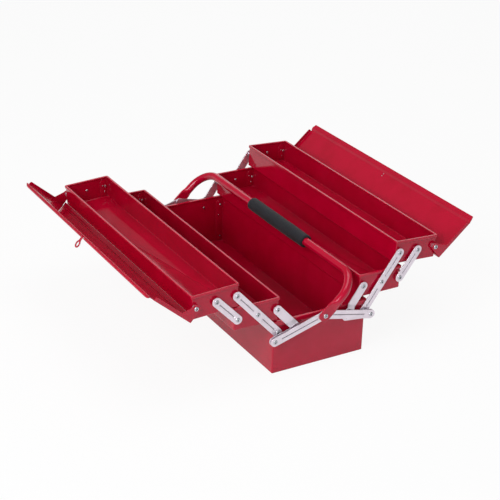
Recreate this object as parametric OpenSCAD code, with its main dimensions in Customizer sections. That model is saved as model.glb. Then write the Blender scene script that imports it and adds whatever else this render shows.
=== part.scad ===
// Five-tray cantilever tool box of painted sheet steel, drawn fully open.
// X runs along the box, Y across it and Z up. The origin is the middle of the
// base bin's underside. "near" is the +X end, "right" is the +Y side.
// Every side piece is drawn for the right side and mirrored for the left one.

/* [Base bin] */
// Length of the base bin over its end walls
base_length = 530; // [480:1:600]
// Width of the base bin over its side walls
base_width = 192; // [188:1:200]
// Height of the base bin to the top of its rim
base_height = 104.6; // [98:0.1:105]
// Outward reach of the base rim roll
base_rim_reach = 3; // [2:0.1:3.4]
// Height of the base rim roll
base_rim_height = 10; // [6:0.5:14]

/* [Trays] */
// Width of a tray over its rim rolls
tray_width = 92.6; // [90:0.1:94]
// Height of a tray from its underside to its rim
tray_height = 44.2; // [38:0.1:44.6]
// Outward reach of a tray rim roll
tray_rim_reach = 2; // [1.6:0.1:2.4]
// Height of a tray rim roll
tray_rim_height = 5.2; // [4:0.1:8]
// Height of the pivot row above the underside of a tray
tray_pivot_rise = 23; // [20:0.1:23.4]
// Distance of a tray's inner pivot from the edge of its rim
tray_pivot_inset = 7.3; // [6.8:0.1:9]
// Outward tilt of the upper trays when the box is open
tray_droop = 3; // [0:0.1:3.5]

/* [Sheet] */
// Sheet thickness of the base bin and the trays
sheet = 1; // [0.8:0.1:1.4]
// Sheet thickness of the lids
lid_sheet = 0.9; // [0.7:0.1:1.2]
// Outer radius of the upright corners of the bin and the trays
corner_radius = 2.4; // [2:0.1:6]

/* [Links] */
// Distance between neighbouring pivots on a wall
pivot_pitch = 39.5; // [39:0.1:40.2]
// Length of one link segment between two pivots
link_length = 61.4; // [61.2:0.1:63]
// Distance of the outer base pivot from the outside of the long wall
base_pivot_inset = 6; // [5:0.1:7]
// Depth of the base pivots below the base rim
base_pivot_drop = 20.6; // [19:0.1:20.8]
// Angle of the left links above the outward level line when open
left_open_angle = 47.5; // [47.2:0.1:50]
// Angle of the right links above the outward level line when open
right_open_angle = 54.5; // [50:0.1:58]
// Width of a link strip
link_width = 17; // [14:0.5:17.5]
// Thickness of a link, crank or bar
link_thickness = 1.8; // [1.4:0.1:1.8]
// Width of the pressed groove in a link
groove_width = 1.6; // [1:0.1:3]
// Depth of the pressed groove in a link
groove_depth = 0.5; // [0.2:0.1:0.8]

/* [Cranks and lifting bars] */
// Distance from a crank's base pivot to its lifting pivot
crank_arm = 51; // [48:0.1:54]
// Angle between a crank's strip and its lifting arm
crank_angle = 61; // [58:0.5:64]
// Distance along the crank strip from the tray pivot to the outward step
crank_step_start = 40; // [30:1:44]
// Length of the outward step of the crank
crank_step_run = 6; // [4:0.5:8]
// Rise of the handle pivots above the two lifting pivots when open
handle_pivot_rise = 26.1; // [22:0.1:40]
// Width of a lifting bar
bar_width = 17; // [14:0.5:18]

/* [Lids] */
// Reach of a shut lid past the middle of the box
lid_overlap = 2.9; // [2:0.1:4]
// Height of a shut lid's top face above the tray rim
lid_headroom = 4.2; // [3.6:0.1:6]
// Play between a tray rim and the inside of the lid's hinge flange
lid_side_play = 1.4; // [1.2:0.1:2]
// Angle that a lid swings from shut to open
lid_swing = 136.2; // [125:0.1:136.4]
// Depth of the long flange on the hinge side of a lid
hinge_flange = 9.6; // [6:0.1:9.6]
// Depth of the end lips of a lid
end_lip = 7.5; // [5:0.1:9]
// Width of the lowered edge strip of the right lid
step_width = 14.8; // [11:0.1:15]
// Drop of the lowered edge strip of the right lid
step_drop = 2.6; // [2.2:0.1:3]
// Width of the folded hem of the left lid
hem_width = 8; // [5:0.5:9]

/* [Handle] */
// Outer diameter of the handle tube
tube_diameter = 16; // [14:0.5:18]
// Wall thickness of the handle tube
tube_wall = 1.2; // [0.8:0.1:2]
// Height of the handle's grip line above its pivots
handle_height = 86.8; // [82:0.1:110]
// Bend radius of the handle's corners at the tube's middle
handle_bend = 46.3; // [40:0.1:48]
// Lean of the handle toward the right side when the box is open
handle_lean = 47.3; // [40:0.1:48]
// Width of the flattened handle ends
flat_width = 23; // [20:0.5:25]
// Thickness of the flattened handle ends
flat_thickness = 3.4; // [2.6:0.1:4]
// Length of the grip sleeve
grip_length = 199; // [120:1:220]
// Outer diameter of the grip sleeve
grip_diameter = 26.4; // [20:0.2:28]
// Distance that the grip sleeve has slid toward the near end
grip_shift = 12; // [0:1:20]

/* [Rivets and washers] */
// Diameter of a rivet shank
rivet_diameter = 5; // [4:0.1:6]
// Diameter of a rivet head
rivet_head = 9; // [8:0.2:10]
// Height of a domed rivet head
rivet_head_height = 1.6; // [1:0.1:1.6]
// Diameter of the clinched rivet ends inside the walls
clinch_diameter = 5.6; // [5.2:0.1:5.8]
// Height of the clinched rivet ends inside the walls
clinch_height = 1.2; // [1:0.1:1.4]
// Height of the flat head of the crank pivots
low_head_height = 1.2; // [0.8:0.1:1.2]
// Outer diameter of a spacer washer
washer_diameter = 10; // [8:0.5:12]

/* [Hasp] */
// Distance from the hasp's hinge pin to the middle of its eye
hasp_reach = 15; // [14.8:0.1:18]
// Width of the hasp
hasp_width = 13; // [12:0.1:14]
// Thickness of the hasp
hasp_thickness = 2.2; // [1.6:0.1:2.4]
// Width of the hasp's eye
eye_width = 7; // [6.4:0.1:7.4]
// Length of the hasp's eye
eye_length = 8.6; // [8.4:0.1:9.4]
// Diameter of the hasp's hinge pin
hasp_pin = 2; // [1.6:0.1:2.2]
// Wire diameter of the staple
staple_wire = 2.2; // [1.8:0.1:2.4]
// Height of the staple above the lid
staple_height = 8; // [7:0.5:8]
// Angle that the hasp swings from open to lying on the other lid
hasp_swing = 94; // [80:1:100]

/* [Clearances] */
// Radial play of a pivot hole on its rivet
bore_play = 0.06; // [0.03:0.01:0.1]
// Play between faces that turn against each other
face_play = 0.1; // [0.05:0.01:0.2]
// Gap between layers of links that pass each other
layer_gap = 0.3; // [0.2:0.05:0.5]
// Room for the upper tray pin at the top of an outer link
slot_play = 0.9; // [0.8:0.05:1]
// Half of the gap left between the two upper trays when shut
shut_gap = 1.7; // [1.2:0.1:2.5]

/* [Hidden] */
$fn = 48;
LEFT = -1;
RIGHT = 1;
NEAR = 1;
FAR = -1;

// Colours
paint = "firebrick";
zinc = "silver";
foam = "darkslategray";

// Places of the layers along X, counted outward from the end walls
end_face = base_length / 2;
washer_run = max(base_rim_reach, tray_rim_reach) + 0.8;
link_x = end_face + washer_run + face_play;
link_head_x = link_x + link_thickness + face_play;
lid_end_x = link_x + link_thickness + 0.4;
foot_x = link_head_x + rivet_head_height + layer_gap;
low_head_x = foot_x + link_thickness + face_play;
right_bar_x = low_head_x + low_head_height + layer_gap;
left_bar_x = right_bar_x + link_thickness + layer_gap;
flat_x = left_bar_x + link_thickness + face_play;
tube_x = flat_x + flat_thickness / 2;

rivet_radius = rivet_diameter / 2;
bore_radius = rivet_radius + bore_play;
tray_pivot_drop = tray_height - tray_pivot_rise;
base_pivot_height = base_height - base_pivot_drop;

// Places in a side's own plane: first number outward, second number up
function open_angle(side) = side < 0 ? left_open_angle : right_open_angle;
function along(angle, length) = [length * cos(angle), length * sin(angle)];
base_outer = [base_width / 2 - base_pivot_inset, base_pivot_height];
base_inner = base_outer - [pivot_pitch, 0];
function tray_middle(side) = base_outer + along(open_angle(side), link_length);
function lower_inner(side) = tray_middle(side) - [pivot_pitch, 0];
function lower_outer(side) = tray_middle(side) + [pivot_pitch, 0];
function upper_inner(side) = base_outer + along(open_angle(side), 2 * link_length);
function upper_middle(side) = upper_inner(side) + along(-tray_droop, pivot_pitch);
function lid_pivot(side) = upper_inner(side) + along(-tray_droop, 2 * pivot_pitch);
function lift_pivot(side) = base_inner + along(open_angle(side) - crank_angle, crank_arm);
function turn_of(v) = atan2(v[1], v[0]);

// Shut, the upper trays all but meet in the middle; this gives the lid hinge's place
shut_upper_inner = shut_gap + tray_pivot_inset;
shut_lid_pivot = shut_upper_inner + 2 * pivot_pitch;

// Handle pivot: the top of the triangle of the two lifting bars
left_lift = [-lift_pivot(LEFT)[0], lift_pivot(LEFT)[1]];
right_lift = lift_pivot(RIGHT);
lift_tilt = turn_of(right_lift - left_lift);
handle_pivot = (left_lift + right_lift) / 2 + along(lift_tilt + 90, handle_pivot_rise);

module on_side(side) {
    if (side < 0) mirror([0, 1, 0]) children();
    else children();
}

module at_end(end) {
    if (end < 0) mirror([1, 0, 0]) children();
    else children();
}

module both_ends() {
    children();
    mirror([1, 0, 0]) children();
}

// Puts a piece at a place [outward, up] of a side's plane
module at_place(place) {
    translate([0, place[0], place[1]]) children();
}

// A flat plate drawn in [outward, up] and standing from x to x + thickness
module plate(x, thickness) {
    translate([x, 0, 0]) rotate([90, 0, 90]) linear_extrude(thickness) children();
}

// A round bar along X at a place of a side's plane
module bar_x(place, x, length, radius) {
    translate([x, place[0], place[1]]) rotate([0, 90, 0]) cylinder(h = length, r = radius);
}

// Flat outline of a strip with round ends between two places
module strip(from, to, width) {
    run = norm(to - from);
    translate(from) rotate(turn_of(to - from)) {
        translate([0, -width / 2]) square([run, width]);
        circle(d = width);
        translate([run, 0]) circle(d = width);
    }
}

// Groove along the middle of a strip, short of its pivots
module groove(from, to, x, margin) {
    unit = (to - from) / norm(to - from);
    plate(x - groove_depth, groove_depth + 1)
        strip(from + margin * unit, to - margin * unit, groove_width);
}

// Half section of a domed head standing on y = 0
module cap_section(diameter, height) {
    ball = (diameter * diameter / 4 + height * height) / (2 * height);
    intersection() {
        translate([0, height - ball]) circle(r = ball);
        square([diameter / 2, height]);
    }
}

// Half section of a rivet's shank and of its domed head with a hollow tip
module rivet_section(from, head_x) {
    translate([0, from]) square([rivet_radius, head_x - from]);
    translate([0, head_x]) difference() {
        cap_section(rivet_head, rivet_head_height);
        translate([-1, rivet_head_height / 3]) square([1 + rivet_radius / 2, rivet_head_height]);
    }
}

// Half section of the clinched head on the inside of an end wall
module clinch_section() {
    translate([0, end_face - sheet]) mirror([0, 1])
        cap_section(clinch_diameter, clinch_height);
}

// Turns a half section about a line along X through a place
module turned(place) {
    translate([0, place[0], place[1]]) rotate([0, 90, 0]) rotate_extrude() children();
}

// Rivet from the inside of an end wall to a domed head outside
module wall_rivet(place, head_x) {
    turned(place) {
        rivet_section(end_face - sheet, head_x);
        clinch_section();
    }
}

// Ring that fills the space between an end wall and a link
module washer(place, x, length) {
    difference() {
        bar_x(place, x, length, washer_diameter / 2);
        bar_x(place, x - 1, length + 2, rivet_radius);
    }
}

// ---- sheet boxes ----

module rounded_plan(length, y_in, y_out, radius) {
    translate([-length / 2 + radius, y_in]) square([length - 2 * radius, y_out - y_in]);
    translate([-length / 2, y_in + radius]) square([length, y_out - y_in - 2 * radius]);
    for (x = [-length / 2 + radius, length / 2 - radius], y = [y_in + radius, y_out - radius])
        translate([x, y]) circle(r = radius);
}

// Section of a rim roll: flush with the inner face of the wall, reaching outward
module roll_section(reach, height) {
    width = reach + sheet;
    translate([-sheet, -height + width / 2]) square([width, height - width]);
    for (z = [-width / 2, -height + width / 2])
        translate([-sheet + width / 2, z]) circle(d = width);
}

// Rim roll round the top of a sheet box, top at z
module rim_roll(length, y_in, y_out, z, reach, height) {
    straight_x = length - 2 * corner_radius;
    straight_y = y_out - y_in - 2 * corner_radius;
    translate([-straight_x / 2, y_out, z]) rotate([90, 0, 90])
        linear_extrude(straight_x) roll_section(reach, height);
    translate([-straight_x / 2, y_in, z]) rotate([90, 0, 90])
        linear_extrude(straight_x) mirror([1, 0]) roll_section(reach, height);
    translate([length / 2, y_out - corner_radius, z]) rotate([90, 0, 0])
        linear_extrude(straight_y) roll_section(reach, height);
    translate([-length / 2, y_out - corner_radius, z]) rotate([90, 0, 0])
        linear_extrude(straight_y) mirror([1, 0]) roll_section(reach, height);
    for (corner = [[1, 1, 0], [-1, 1, 90], [-1, -1, 180], [1, -1, 270]])
        translate([corner[0] * straight_x / 2,
                   corner[1] > 0 ? y_out - corner_radius : y_in + corner_radius, z])
            rotate([0, 0, corner[2]]) rotate_extrude(angle = 90)
                translate([corner_radius, 0]) roll_section(reach, height);
}

module sheet_box(length, y_in, y_out, z_low, z_top) {
    difference() {
        translate([0, 0, z_low]) linear_extrude(z_top - z_low)
            rounded_plan(length, y_in, y_out, corner_radius);
        translate([0, 0, z_low + sheet]) linear_extrude(z_top - z_low)
            rounded_plan(length - 2 * sheet, y_in + sheet, y_out - sheet, corner_radius - sheet);
    }
}

// ---- base bin ----

module base_bin() {
    color(paint) difference() {
        union() {
            sheet_box(base_length, -base_width / 2, base_width / 2, 0,
                      base_height - base_rim_reach / 2 - sheet / 2);
            rim_roll(base_length, -base_width / 2, base_width / 2, base_height,
                     base_rim_reach, base_rim_height);
        }
        for (side = [LEFT, RIGHT]) on_side(side)
            for (place = [base_outer, base_inner]) wall_holes(place);
    }
}

// Rivet holes through both end walls at one place
module wall_holes(place) {
    both_ends() bar_x(place, end_face - 4, 8, rivet_radius);
}

module base_pivot_rivets() {
    color(zinc) for (side = [LEFT, RIGHT]) on_side(side) both_ends()
        wall_rivet(base_outer, link_head_x);
}

// Crank pivots have low flat heads, because the lifting bars pass over them
module base_crank_rivets() {
    inside = end_face - sheet;
    color(zinc) for (side = [LEFT, RIGHT]) on_side(side) both_ends() turned(base_inner) {
        translate([0, inside]) square([rivet_radius, low_head_x - inside]);
        translate([0, low_head_x]) square([rivet_head / 2, low_head_height]);
        clinch_section();
    }
}

module base_spacers() {
    color(zinc) for (side = [LEFT, RIGHT]) on_side(side) both_ends() {
        washer(base_outer, end_face, washer_run);
        washer(base_inner, end_face, foot_x - face_play - end_face);
    }
}

// ---- trays, drawn round their inner pivot ----

module tray_shell() {
    y_in = tray_rim_reach - tray_pivot_inset;
    y_out = tray_width - tray_pivot_inset - tray_rim_reach;
    difference() {
        union() {
            sheet_box(base_length, y_in, y_out, -tray_pivot_rise,
                      tray_pivot_drop - tray_rim_reach / 2 - sheet / 2);
            rim_roll(base_length, y_in, y_out, tray_pivot_drop,
                     tray_rim_reach, tray_rim_height);
        }
        for (step = [0:2]) wall_holes([step * pivot_pitch, 0]);
    }
}

module lower_tray(side) {
    color(paint) on_side(side) at_place(lower_inner(side)) tray_shell();
}

module at_upper(side) {
    on_side(side) at_place(upper_inner(side)) rotate([-tray_droop, 0, 0]) children();
}

module upper_tray(side) {
    color(paint) at_upper(side) tray_shell();
}

module lower_tray_rivets(side) {
    color(zinc) on_side(side) both_ends()
        for (place = [lower_inner(side), tray_middle(side), lower_outer(side)])
            wall_rivet(place, link_head_x);
}

module lower_tray_washers(side) {
    color(zinc) on_side(side) both_ends()
        for (place = [lower_inner(side), tray_middle(side), lower_outer(side)])
            washer(place, end_face, washer_run);
}

module upper_tray_rivets(side) {
    color(zinc) at_upper(side) both_ends()
        for (step = [0, 1]) wall_rivet([step * pivot_pitch, 0], link_head_x);
}

module upper_tray_washers(side) {
    color(zinc) at_upper(side) both_ends() {
        for (step = [0, 1]) washer([step * pivot_pitch, 0], end_face, washer_run);
        washer([2 * pivot_pitch, 0], end_face, lid_end_x - face_play - end_face);
    }
}

module lid_rivets(side) {
    color(zinc) at_upper(side) both_ends()
        wall_rivet([2 * pivot_pitch, 0], lid_end_x + lid_sheet + face_play);
}

// ---- lids, drawn shut round their hinge pivot ----

lid_rise = tray_pivot_drop + lid_headroom;
lid_overhang = tray_width - tray_pivot_inset - 2 * pivot_pitch + lid_side_play + lid_sheet;
lid_corner = [lid_overhang, lid_rise];
lid_edge = -shut_lid_pivot - lid_overlap;
lid_half = lid_end_x + lid_sheet;

// Outline of a lid's end flange: an ear round the pivot that falls to a low lip and
// stops at the strip along the free edge
module lid_end_outline(strip) {
    ear = 7.5;
    lip_level = lid_rise - end_lip;
    lip_start = lid_overhang - 27;
    lip_end = lid_edge + strip + 1;
    polygon([
        [lid_overhang, lid_rise], [lid_overhang, 0], [ear, -1], [0, -ear], [-ear, 0],
        [lip_start, lip_level], [lip_end, lip_level], [lip_end - 1, lid_rise - lid_sheet],
        [lip_end - 1, lid_rise]
    ]);
    circle(r = ear);
}

module lid_ends(side) {
    both_ends() difference() {
        plate(lid_end_x, lid_sheet) lid_end_outline(side < 0 ? hem_width : step_width);
        bar_x([0, 0], lid_end_x - 1, lid_sheet + 2, bore_radius);
    }
}

// Section of the left lid: flat, with a hinge flange and a folded hem
module left_lid_section() {
    t = lid_sheet;
    polygon([
        lid_corner, [lid_overhang, lid_rise - hinge_flange],
        [lid_overhang - t, lid_rise - hinge_flange], [lid_overhang - t, lid_rise - t],
        [lid_edge + hem_width, lid_rise - t], [lid_edge + hem_width, lid_rise - 2 * t],
        [lid_edge, lid_rise - 2 * t], [lid_edge, lid_rise]
    ]);
}

// Section of the right lid: its edge strip drops to pass under the left lid
module right_lid_section() {
    t = lid_sheet;
    knee = lid_edge + step_width;
    polygon([
        lid_corner, [lid_overhang, lid_rise - hinge_flange],
        [lid_overhang - t, lid_rise - hinge_flange], [lid_overhang - t, lid_rise - t],
        [knee, lid_rise - t], [knee - step_drop, lid_rise - step_drop - t],
        [lid_edge, lid_rise - step_drop - t], [lid_edge, lid_rise - step_drop],
        [knee - step_drop, lid_rise - step_drop], [knee, lid_rise]
    ]);
}

// Bevels that take the sharp points off the free corners of a lid
module lid_corner_cuts() {
    cut = 6;
    both_ends() translate([lid_half, lid_edge, lid_rise - 10])
        rotate([0, 0, 45]) translate([-cut / 2, -cut / 2, 0]) cube([cut, cut, 20]);
}

module lid_sheet_metal(side) {
    difference() {
        plate(-lid_half, 2 * lid_half) {
            if (side < 0) left_lid_section();
            else right_lid_section();
        }
        lid_corner_cuts();
        if (side > 0) staple_holes();
    }
    lid_ends(side);
}

module at_lid(side) {
    at_upper(side) at_place([2 * pivot_pitch, 0]) rotate([-lid_swing, 0, 0]) children();
}

module lid(side) {
    color(paint) at_lid(side) lid_sheet_metal(side);
}

// ---- links ----

module long_link(side, end) {
    low = base_outer;
    high = upper_inner(side);
    color(zinc) on_side(side) at_end(end) difference() {
        plate(link_x, link_thickness) strip(low, high, link_width);
        for (place = [low, tray_middle(side), high])
            bar_x(place, link_x - 1, link_thickness + 2, bore_radius);
        groove(low, tray_middle(side), link_x + link_thickness, link_width * 0.6);
        groove(tray_middle(side), high, link_x + link_thickness, link_width * 0.6);
    }
}

// The top hole of an outer link is a short slot: its play lets the upper tray droop
module outer_link(side, end) {
    low = lower_outer(side);
    shut_high = low + along(turn_of(upper_middle(side) - low), link_length);
    open_high = upper_middle(side);
    color(zinc) on_side(side) at_end(end) difference() {
        plate(link_x, link_thickness) strip(low, shut_high, link_width);
        bar_x(low, link_x - 1, link_thickness + 2, bore_radius);
        plate(link_x - 1, link_thickness + 2)
            strip(open_high, shut_high, rivet_diameter + 2 * slot_play);
        groove(low, open_high, link_x + link_thickness, link_width * 0.6);
    }
}

// Crank: a strip down from the lower tray that steps outward into a three-cornered foot
module crank(side, end) {
    high = lower_inner(side);
    lift = lift_pivot(side);
    slope = turn_of(base_inner - high);
    step_top = high + along(slope, crank_step_start);
    step_low = high + along(slope, crank_step_start + crank_step_run);
    color(zinc) on_side(side) at_end(end) difference() {
        union() {
            plate(link_x, link_thickness) {
                translate(high) circle(d = link_width);
                square_strip(high, step_top);
            }
            crank_step(step_top, slope);
            plate(foot_x, link_thickness) foot_outline(step_low, slope, lift);
        }
        bar_x(high, link_x - 1, link_thickness + 2, bore_radius);
        bar_x(base_inner, foot_x - 1, link_thickness + 2, bore_radius);
        bar_x(lift, foot_x - 1, link_thickness + 2, rivet_radius);
    }
}

// Strip with square ends, a hair narrower than the round ends that it runs into
module square_strip(from, to) {
    width = link_width - 0.02;
    translate(from) rotate(turn_of(to - from)) translate([0, -width / 2])
        square([norm(to - from), width]);
}

// Slanted sheet that joins the two layers of a crank, run a little into both
module crank_step(top, slope) {
    lap = 1;
    t = link_thickness;
    translate([0, top[0], top[1]]) rotate([slope, 0, 0])
        translate([0, 0, -link_width / 2]) linear_extrude(link_width) polygon([
            [link_x, -lap], [link_x + t, -lap], [link_x + t, 0],
            [foot_x + t, crank_step_run], [foot_x + t, crank_step_run + lap],
            [foot_x, crank_step_run + lap], [foot_x, crank_step_run], [link_x, 0]
        ]);
}

// Foot of a crank: from the step to the base pivot and the lifting pivot
module foot_outline(step_low, slope, lift) {
    web = link_width * 0.4;
    arm = turn_of(lift - base_inner);
    polygon([step_low + along(slope + 90, web), base_inner, lift + along(arm + 90, web)]);
    square_strip(step_low, base_inner);
    strip(base_inner, lift, link_width);
}

// ---- lifting bars and handle ----

module lifting_bar(side, end) {
    x = side < 0 ? left_bar_x : right_bar_x;
    low = side < 0 ? left_lift : right_lift;
    color(zinc) at_end(end) difference() {
        plate(x, link_thickness) strip(low, handle_pivot, bar_width);
        for (place = [low, handle_pivot])
            bar_x(place, x - 1, link_thickness + 2, bore_radius);
        groove(low, handle_pivot, x + link_thickness, bar_width);
    }
}

module crank_rivets(side) {
    bar = side < 0 ? left_bar_x : right_bar_x;
    back = foot_x - rivet_head_height + face_play;
    color(zinc) on_side(side) both_ends() turned(lift_pivot(side)) {
        rivet_section(back, bar + link_thickness + face_play);
        translate([0, back]) square([rivet_head / 2, foot_x - back]);
    }
}

module crank_washers(side) {
    bar = side < 0 ? left_bar_x : right_bar_x;
    from = foot_x + link_thickness;
    color(zinc) on_side(side) both_ends()
        washer(lift_pivot(side), from, bar - face_play - from);
}

stub_skin = 0.05;

module at_handle() {
    at_place(handle_pivot) rotate([-handle_lean, 0, 0]) children();
}

// Pressed part of a leg: a cone cut to the flat's thickness below, ending just
// inside the round stub that carries the bend
module flat_to_round(z_low, z_high) {
    thin = flat_thickness / 2;
    full = tube_diameter / 2 - stub_skin;
    intersection() {
        translate([0, 0, z_low]) cylinder(h = z_high - z_low, r1 = flat_width / 2, r2 = full);
        translate([0, flat_width, 0]) rotate([90, 0, 0]) linear_extrude(2 * flat_width)
            polygon([[-thin, z_low], [thin, z_low], [full, z_high], [-full, z_high]]);
    }
}

module handle_tube() {
    leg_top = handle_height - handle_bend;
    flat_top = leg_top * 0.45;
    color(paint) at_handle() {
        both_ends() {
            difference() {
                translate([flat_x, 0, 0]) rotate([90, 0, 90]) linear_extrude(flat_thickness) {
                    circle(d = flat_width);
                    translate([-flat_width / 2, 0]) square([flat_width, flat_top]);
                }
                bar_x([0, 0], flat_x - 1, flat_thickness + 2, rivet_radius);
            }
            translate([tube_x, 0, 0]) {
                flat_to_round(flat_top, leg_top - tube_wall);
                translate([0, 0, leg_top - 2 * tube_wall])
                    cylinder(h = 2 * tube_wall, d = tube_diameter);
            }
            translate([tube_x - handle_bend, 0, leg_top]) rotate([90, 0, 0])
                rotate_extrude(angle = 90) translate([handle_bend, 0]) tube_ring();
        }
        translate([-(tube_x - handle_bend), 0, handle_height]) rotate([0, 90, 0])
            linear_extrude(2 * (tube_x - handle_bend)) tube_ring();
    }
}

module tube_ring() {
    difference() {
        circle(d = tube_diameter);
        circle(d = tube_diameter - 2 * tube_wall);
    }
}

module handle_grip() {
    inner = tube_diameter / 2 + face_play;
    outer = grip_diameter / 2;
    edge = (outer - inner) * 0.45;
    color(foam) at_handle() translate([grip_shift - grip_length / 2, 0, handle_height])
        rotate([0, 90, 0]) rotate_extrude() {
            translate([inner, 0]) square([outer - inner - edge, grip_length]);
            translate([inner, edge]) square([outer - inner, grip_length - 2 * edge]);
            for (z = [edge, grip_length - edge]) translate([outer - edge, z]) circle(r = edge);
        }
}

// Handle rivets end flush with the inner face of the left lifting bars
module handle_rivets() {
    color(zinc) at_handle() both_ends() turned([0, 0])
        rivet_section(left_bar_x, flat_x + flat_thickness);
}

// ---- hasp on the left lid, staple on the right one ----

knuckle_radius = hasp_pin / 2 + 1;
knuckle_length = 4;
hasp_hinge = [lid_edge + knuckle_radius, lid_rise + knuckle_radius + layer_gap];

module at_hasp() {
    at_lid(LEFT) at_place(hasp_hinge) children();
}

// The loop is drawn lying past the free edge and turned up to its open place
module hasp_loop() {
    color(paint) at_hasp() rotate([-hasp_swing, 0, 0]) {
        difference() {
            union() {
                translate([0, 0, -hasp_thickness / 2]) linear_extrude(hasp_thickness) {
                    translate([0, -hasp_reach]) oval(hasp_width, eye_length + hasp_width - eye_width);
                    translate([-knuckle_length / 2, -hasp_reach]) square([knuckle_length, hasp_reach]);
                }
                bar_x([0, 0], -knuckle_length / 2, knuckle_length, knuckle_radius);
            }
            translate([0, -hasp_reach, -hasp_thickness]) linear_extrude(2 * hasp_thickness)
                oval(eye_width, eye_length);
            bar_x([0, 0], -knuckle_length, 2 * knuckle_length, hasp_pin / 2 + bore_play);
        }
    }
}

// Upright oval: two circles joined by a rectangle
module oval(width, length) {
    reach = (length - width) / 2;
    for (y = [-reach, reach]) translate([0, y]) circle(d = width);
    translate([-width / 2, -reach]) square([width, 2 * reach]);
}

// Two knuckles on small plates, welded flat on the lid's top face
module hasp_bracket() {
    bracket_length = 10;
    start = knuckle_length / 2 + layer_gap;
    color(paint) at_hasp() both_ends() difference() {
        union() {
            bar_x([0, 0], start, knuckle_length, knuckle_radius);
            translate([start, 0, -knuckle_radius - layer_gap])
                cube([knuckle_length, bracket_length, 1 + layer_gap]);
        }
        bar_x([0, 0], 0, 3 * knuckle_length, hasp_pin / 2);
    }
}

module hasp_hinge_pin() {
    half = 1.5 * knuckle_length + 2 * layer_gap;
    color(zinc) at_hasp() bar_x([0, 0], -half, 2 * half, hasp_pin / 2);
}

// Shut, the hasp's eye comes to rest over the staple with play all round
staple_y = hasp_reach - hasp_hinge[0] - 2 * shut_lid_pivot;
staple_span = eye_length - staple_wire - 1.4;

module staple_holes() {
    for (step = [-1, 1]) translate([0, staple_y + step * staple_span / 2, lid_rise - 5])
        cylinder(h = 10, d = staple_wire);
}

module lid_staple() {
    top = staple_height - staple_wire / 2 - staple_span / 2;
    color(zinc) at_lid(RIGHT) translate([0, staple_y, lid_rise]) {
        for (step = [-1, 1]) translate([0, step * staple_span / 2, -lid_sheet - 1])
            cylinder(h = top + lid_sheet + 1, d = staple_wire);
        translate([0, 0, top]) rotate([90, 0, 90]) rotate_extrude(angle = 180)
            translate([staple_span / 2, 0]) circle(d = staple_wire);
    }
}

base_bin();
base_pivot_rivets();
base_crank_rivets();
base_spacers();
lower_tray(LEFT);  // left_lower_tray
lower_tray(RIGHT);  // right_lower_tray
upper_tray(LEFT);  // left_upper_tray
upper_tray(RIGHT);  // right_upper_tray
lower_tray_rivets(LEFT);  // left_lower_tray_rivets
lower_tray_rivets(RIGHT);  // right_lower_tray_rivets
upper_tray_rivets(LEFT);  // left_upper_tray_rivets
upper_tray_rivets(RIGHT);  // right_upper_tray_rivets
lower_tray_washers(LEFT);  // left_lower_tray_washers
lower_tray_washers(RIGHT);  // right_lower_tray_washers
upper_tray_washers(LEFT);  // left_upper_tray_washers
upper_tray_washers(RIGHT);  // right_upper_tray_washers
lid(LEFT);  // left_lid
lid(RIGHT);  // right_lid
lid_rivets(LEFT);  // left_lid_rivets
lid_rivets(RIGHT);  // right_lid_rivets
long_link(LEFT, NEAR);  // near_left_long_link
long_link(LEFT, FAR);  // far_left_long_link
long_link(RIGHT, NEAR);  // near_right_long_link
long_link(RIGHT, FAR);  // far_right_long_link
crank(LEFT, NEAR);  // near_left_crank
crank(LEFT, FAR);  // far_left_crank
crank(RIGHT, NEAR);  // near_right_crank
crank(RIGHT, FAR);  // far_right_crank
outer_link(LEFT, NEAR);  // near_left_outer_link
outer_link(LEFT, FAR);  // far_left_outer_link
outer_link(RIGHT, NEAR);  // near_right_outer_link
outer_link(RIGHT, FAR);  // far_right_outer_link
lifting_bar(LEFT, NEAR);  // near_left_lifting_bar
lifting_bar(LEFT, FAR);  // far_left_lifting_bar
lifting_bar(RIGHT, NEAR);  // near_right_lifting_bar
lifting_bar(RIGHT, FAR);  // far_right_lifting_bar
crank_rivets(LEFT);  // left_crank_rivets
crank_rivets(RIGHT);  // right_crank_rivets
crank_washers(LEFT);  // left_crank_washers
crank_washers(RIGHT);  // right_crank_washers
handle_tube();
handle_grip();
handle_rivets();
hasp_loop();
hasp_bracket();
hasp_hinge_pin();
lid_staple();
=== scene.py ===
"""Looks of the red cantilever tool box: enamelled sheet steel, zinc-plated links, foam grip.

Sizes are in millimetres in the box's own frame: X along the box, Y across it, Z up, with the
origin in the middle of the underside of the base bin. They turn into metres where a mesh is made.
"""

import math

import bmesh
import bpy
import numpy as np
from mathutils import Matrix, Vector


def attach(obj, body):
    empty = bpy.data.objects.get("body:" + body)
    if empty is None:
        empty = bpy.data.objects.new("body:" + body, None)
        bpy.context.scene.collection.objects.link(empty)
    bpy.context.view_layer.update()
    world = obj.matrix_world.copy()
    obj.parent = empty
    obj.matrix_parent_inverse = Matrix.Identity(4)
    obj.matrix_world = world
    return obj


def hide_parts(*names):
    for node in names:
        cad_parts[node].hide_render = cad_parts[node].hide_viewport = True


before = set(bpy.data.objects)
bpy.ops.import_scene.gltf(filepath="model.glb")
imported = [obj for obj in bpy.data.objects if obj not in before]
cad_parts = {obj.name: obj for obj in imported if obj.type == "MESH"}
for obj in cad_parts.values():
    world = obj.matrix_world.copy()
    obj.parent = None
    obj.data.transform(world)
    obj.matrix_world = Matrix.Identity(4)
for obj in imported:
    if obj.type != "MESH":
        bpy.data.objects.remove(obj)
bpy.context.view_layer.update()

MM = 0.001
WELD = 2e-6
NEAR_FAR = (1, -1)
ENDS = ((1, "near"), (-1, "far"))
LEFT, RIGHT = -1, 1
SIDES = ((LEFT, "left"), (RIGHT, "right"))

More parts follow.
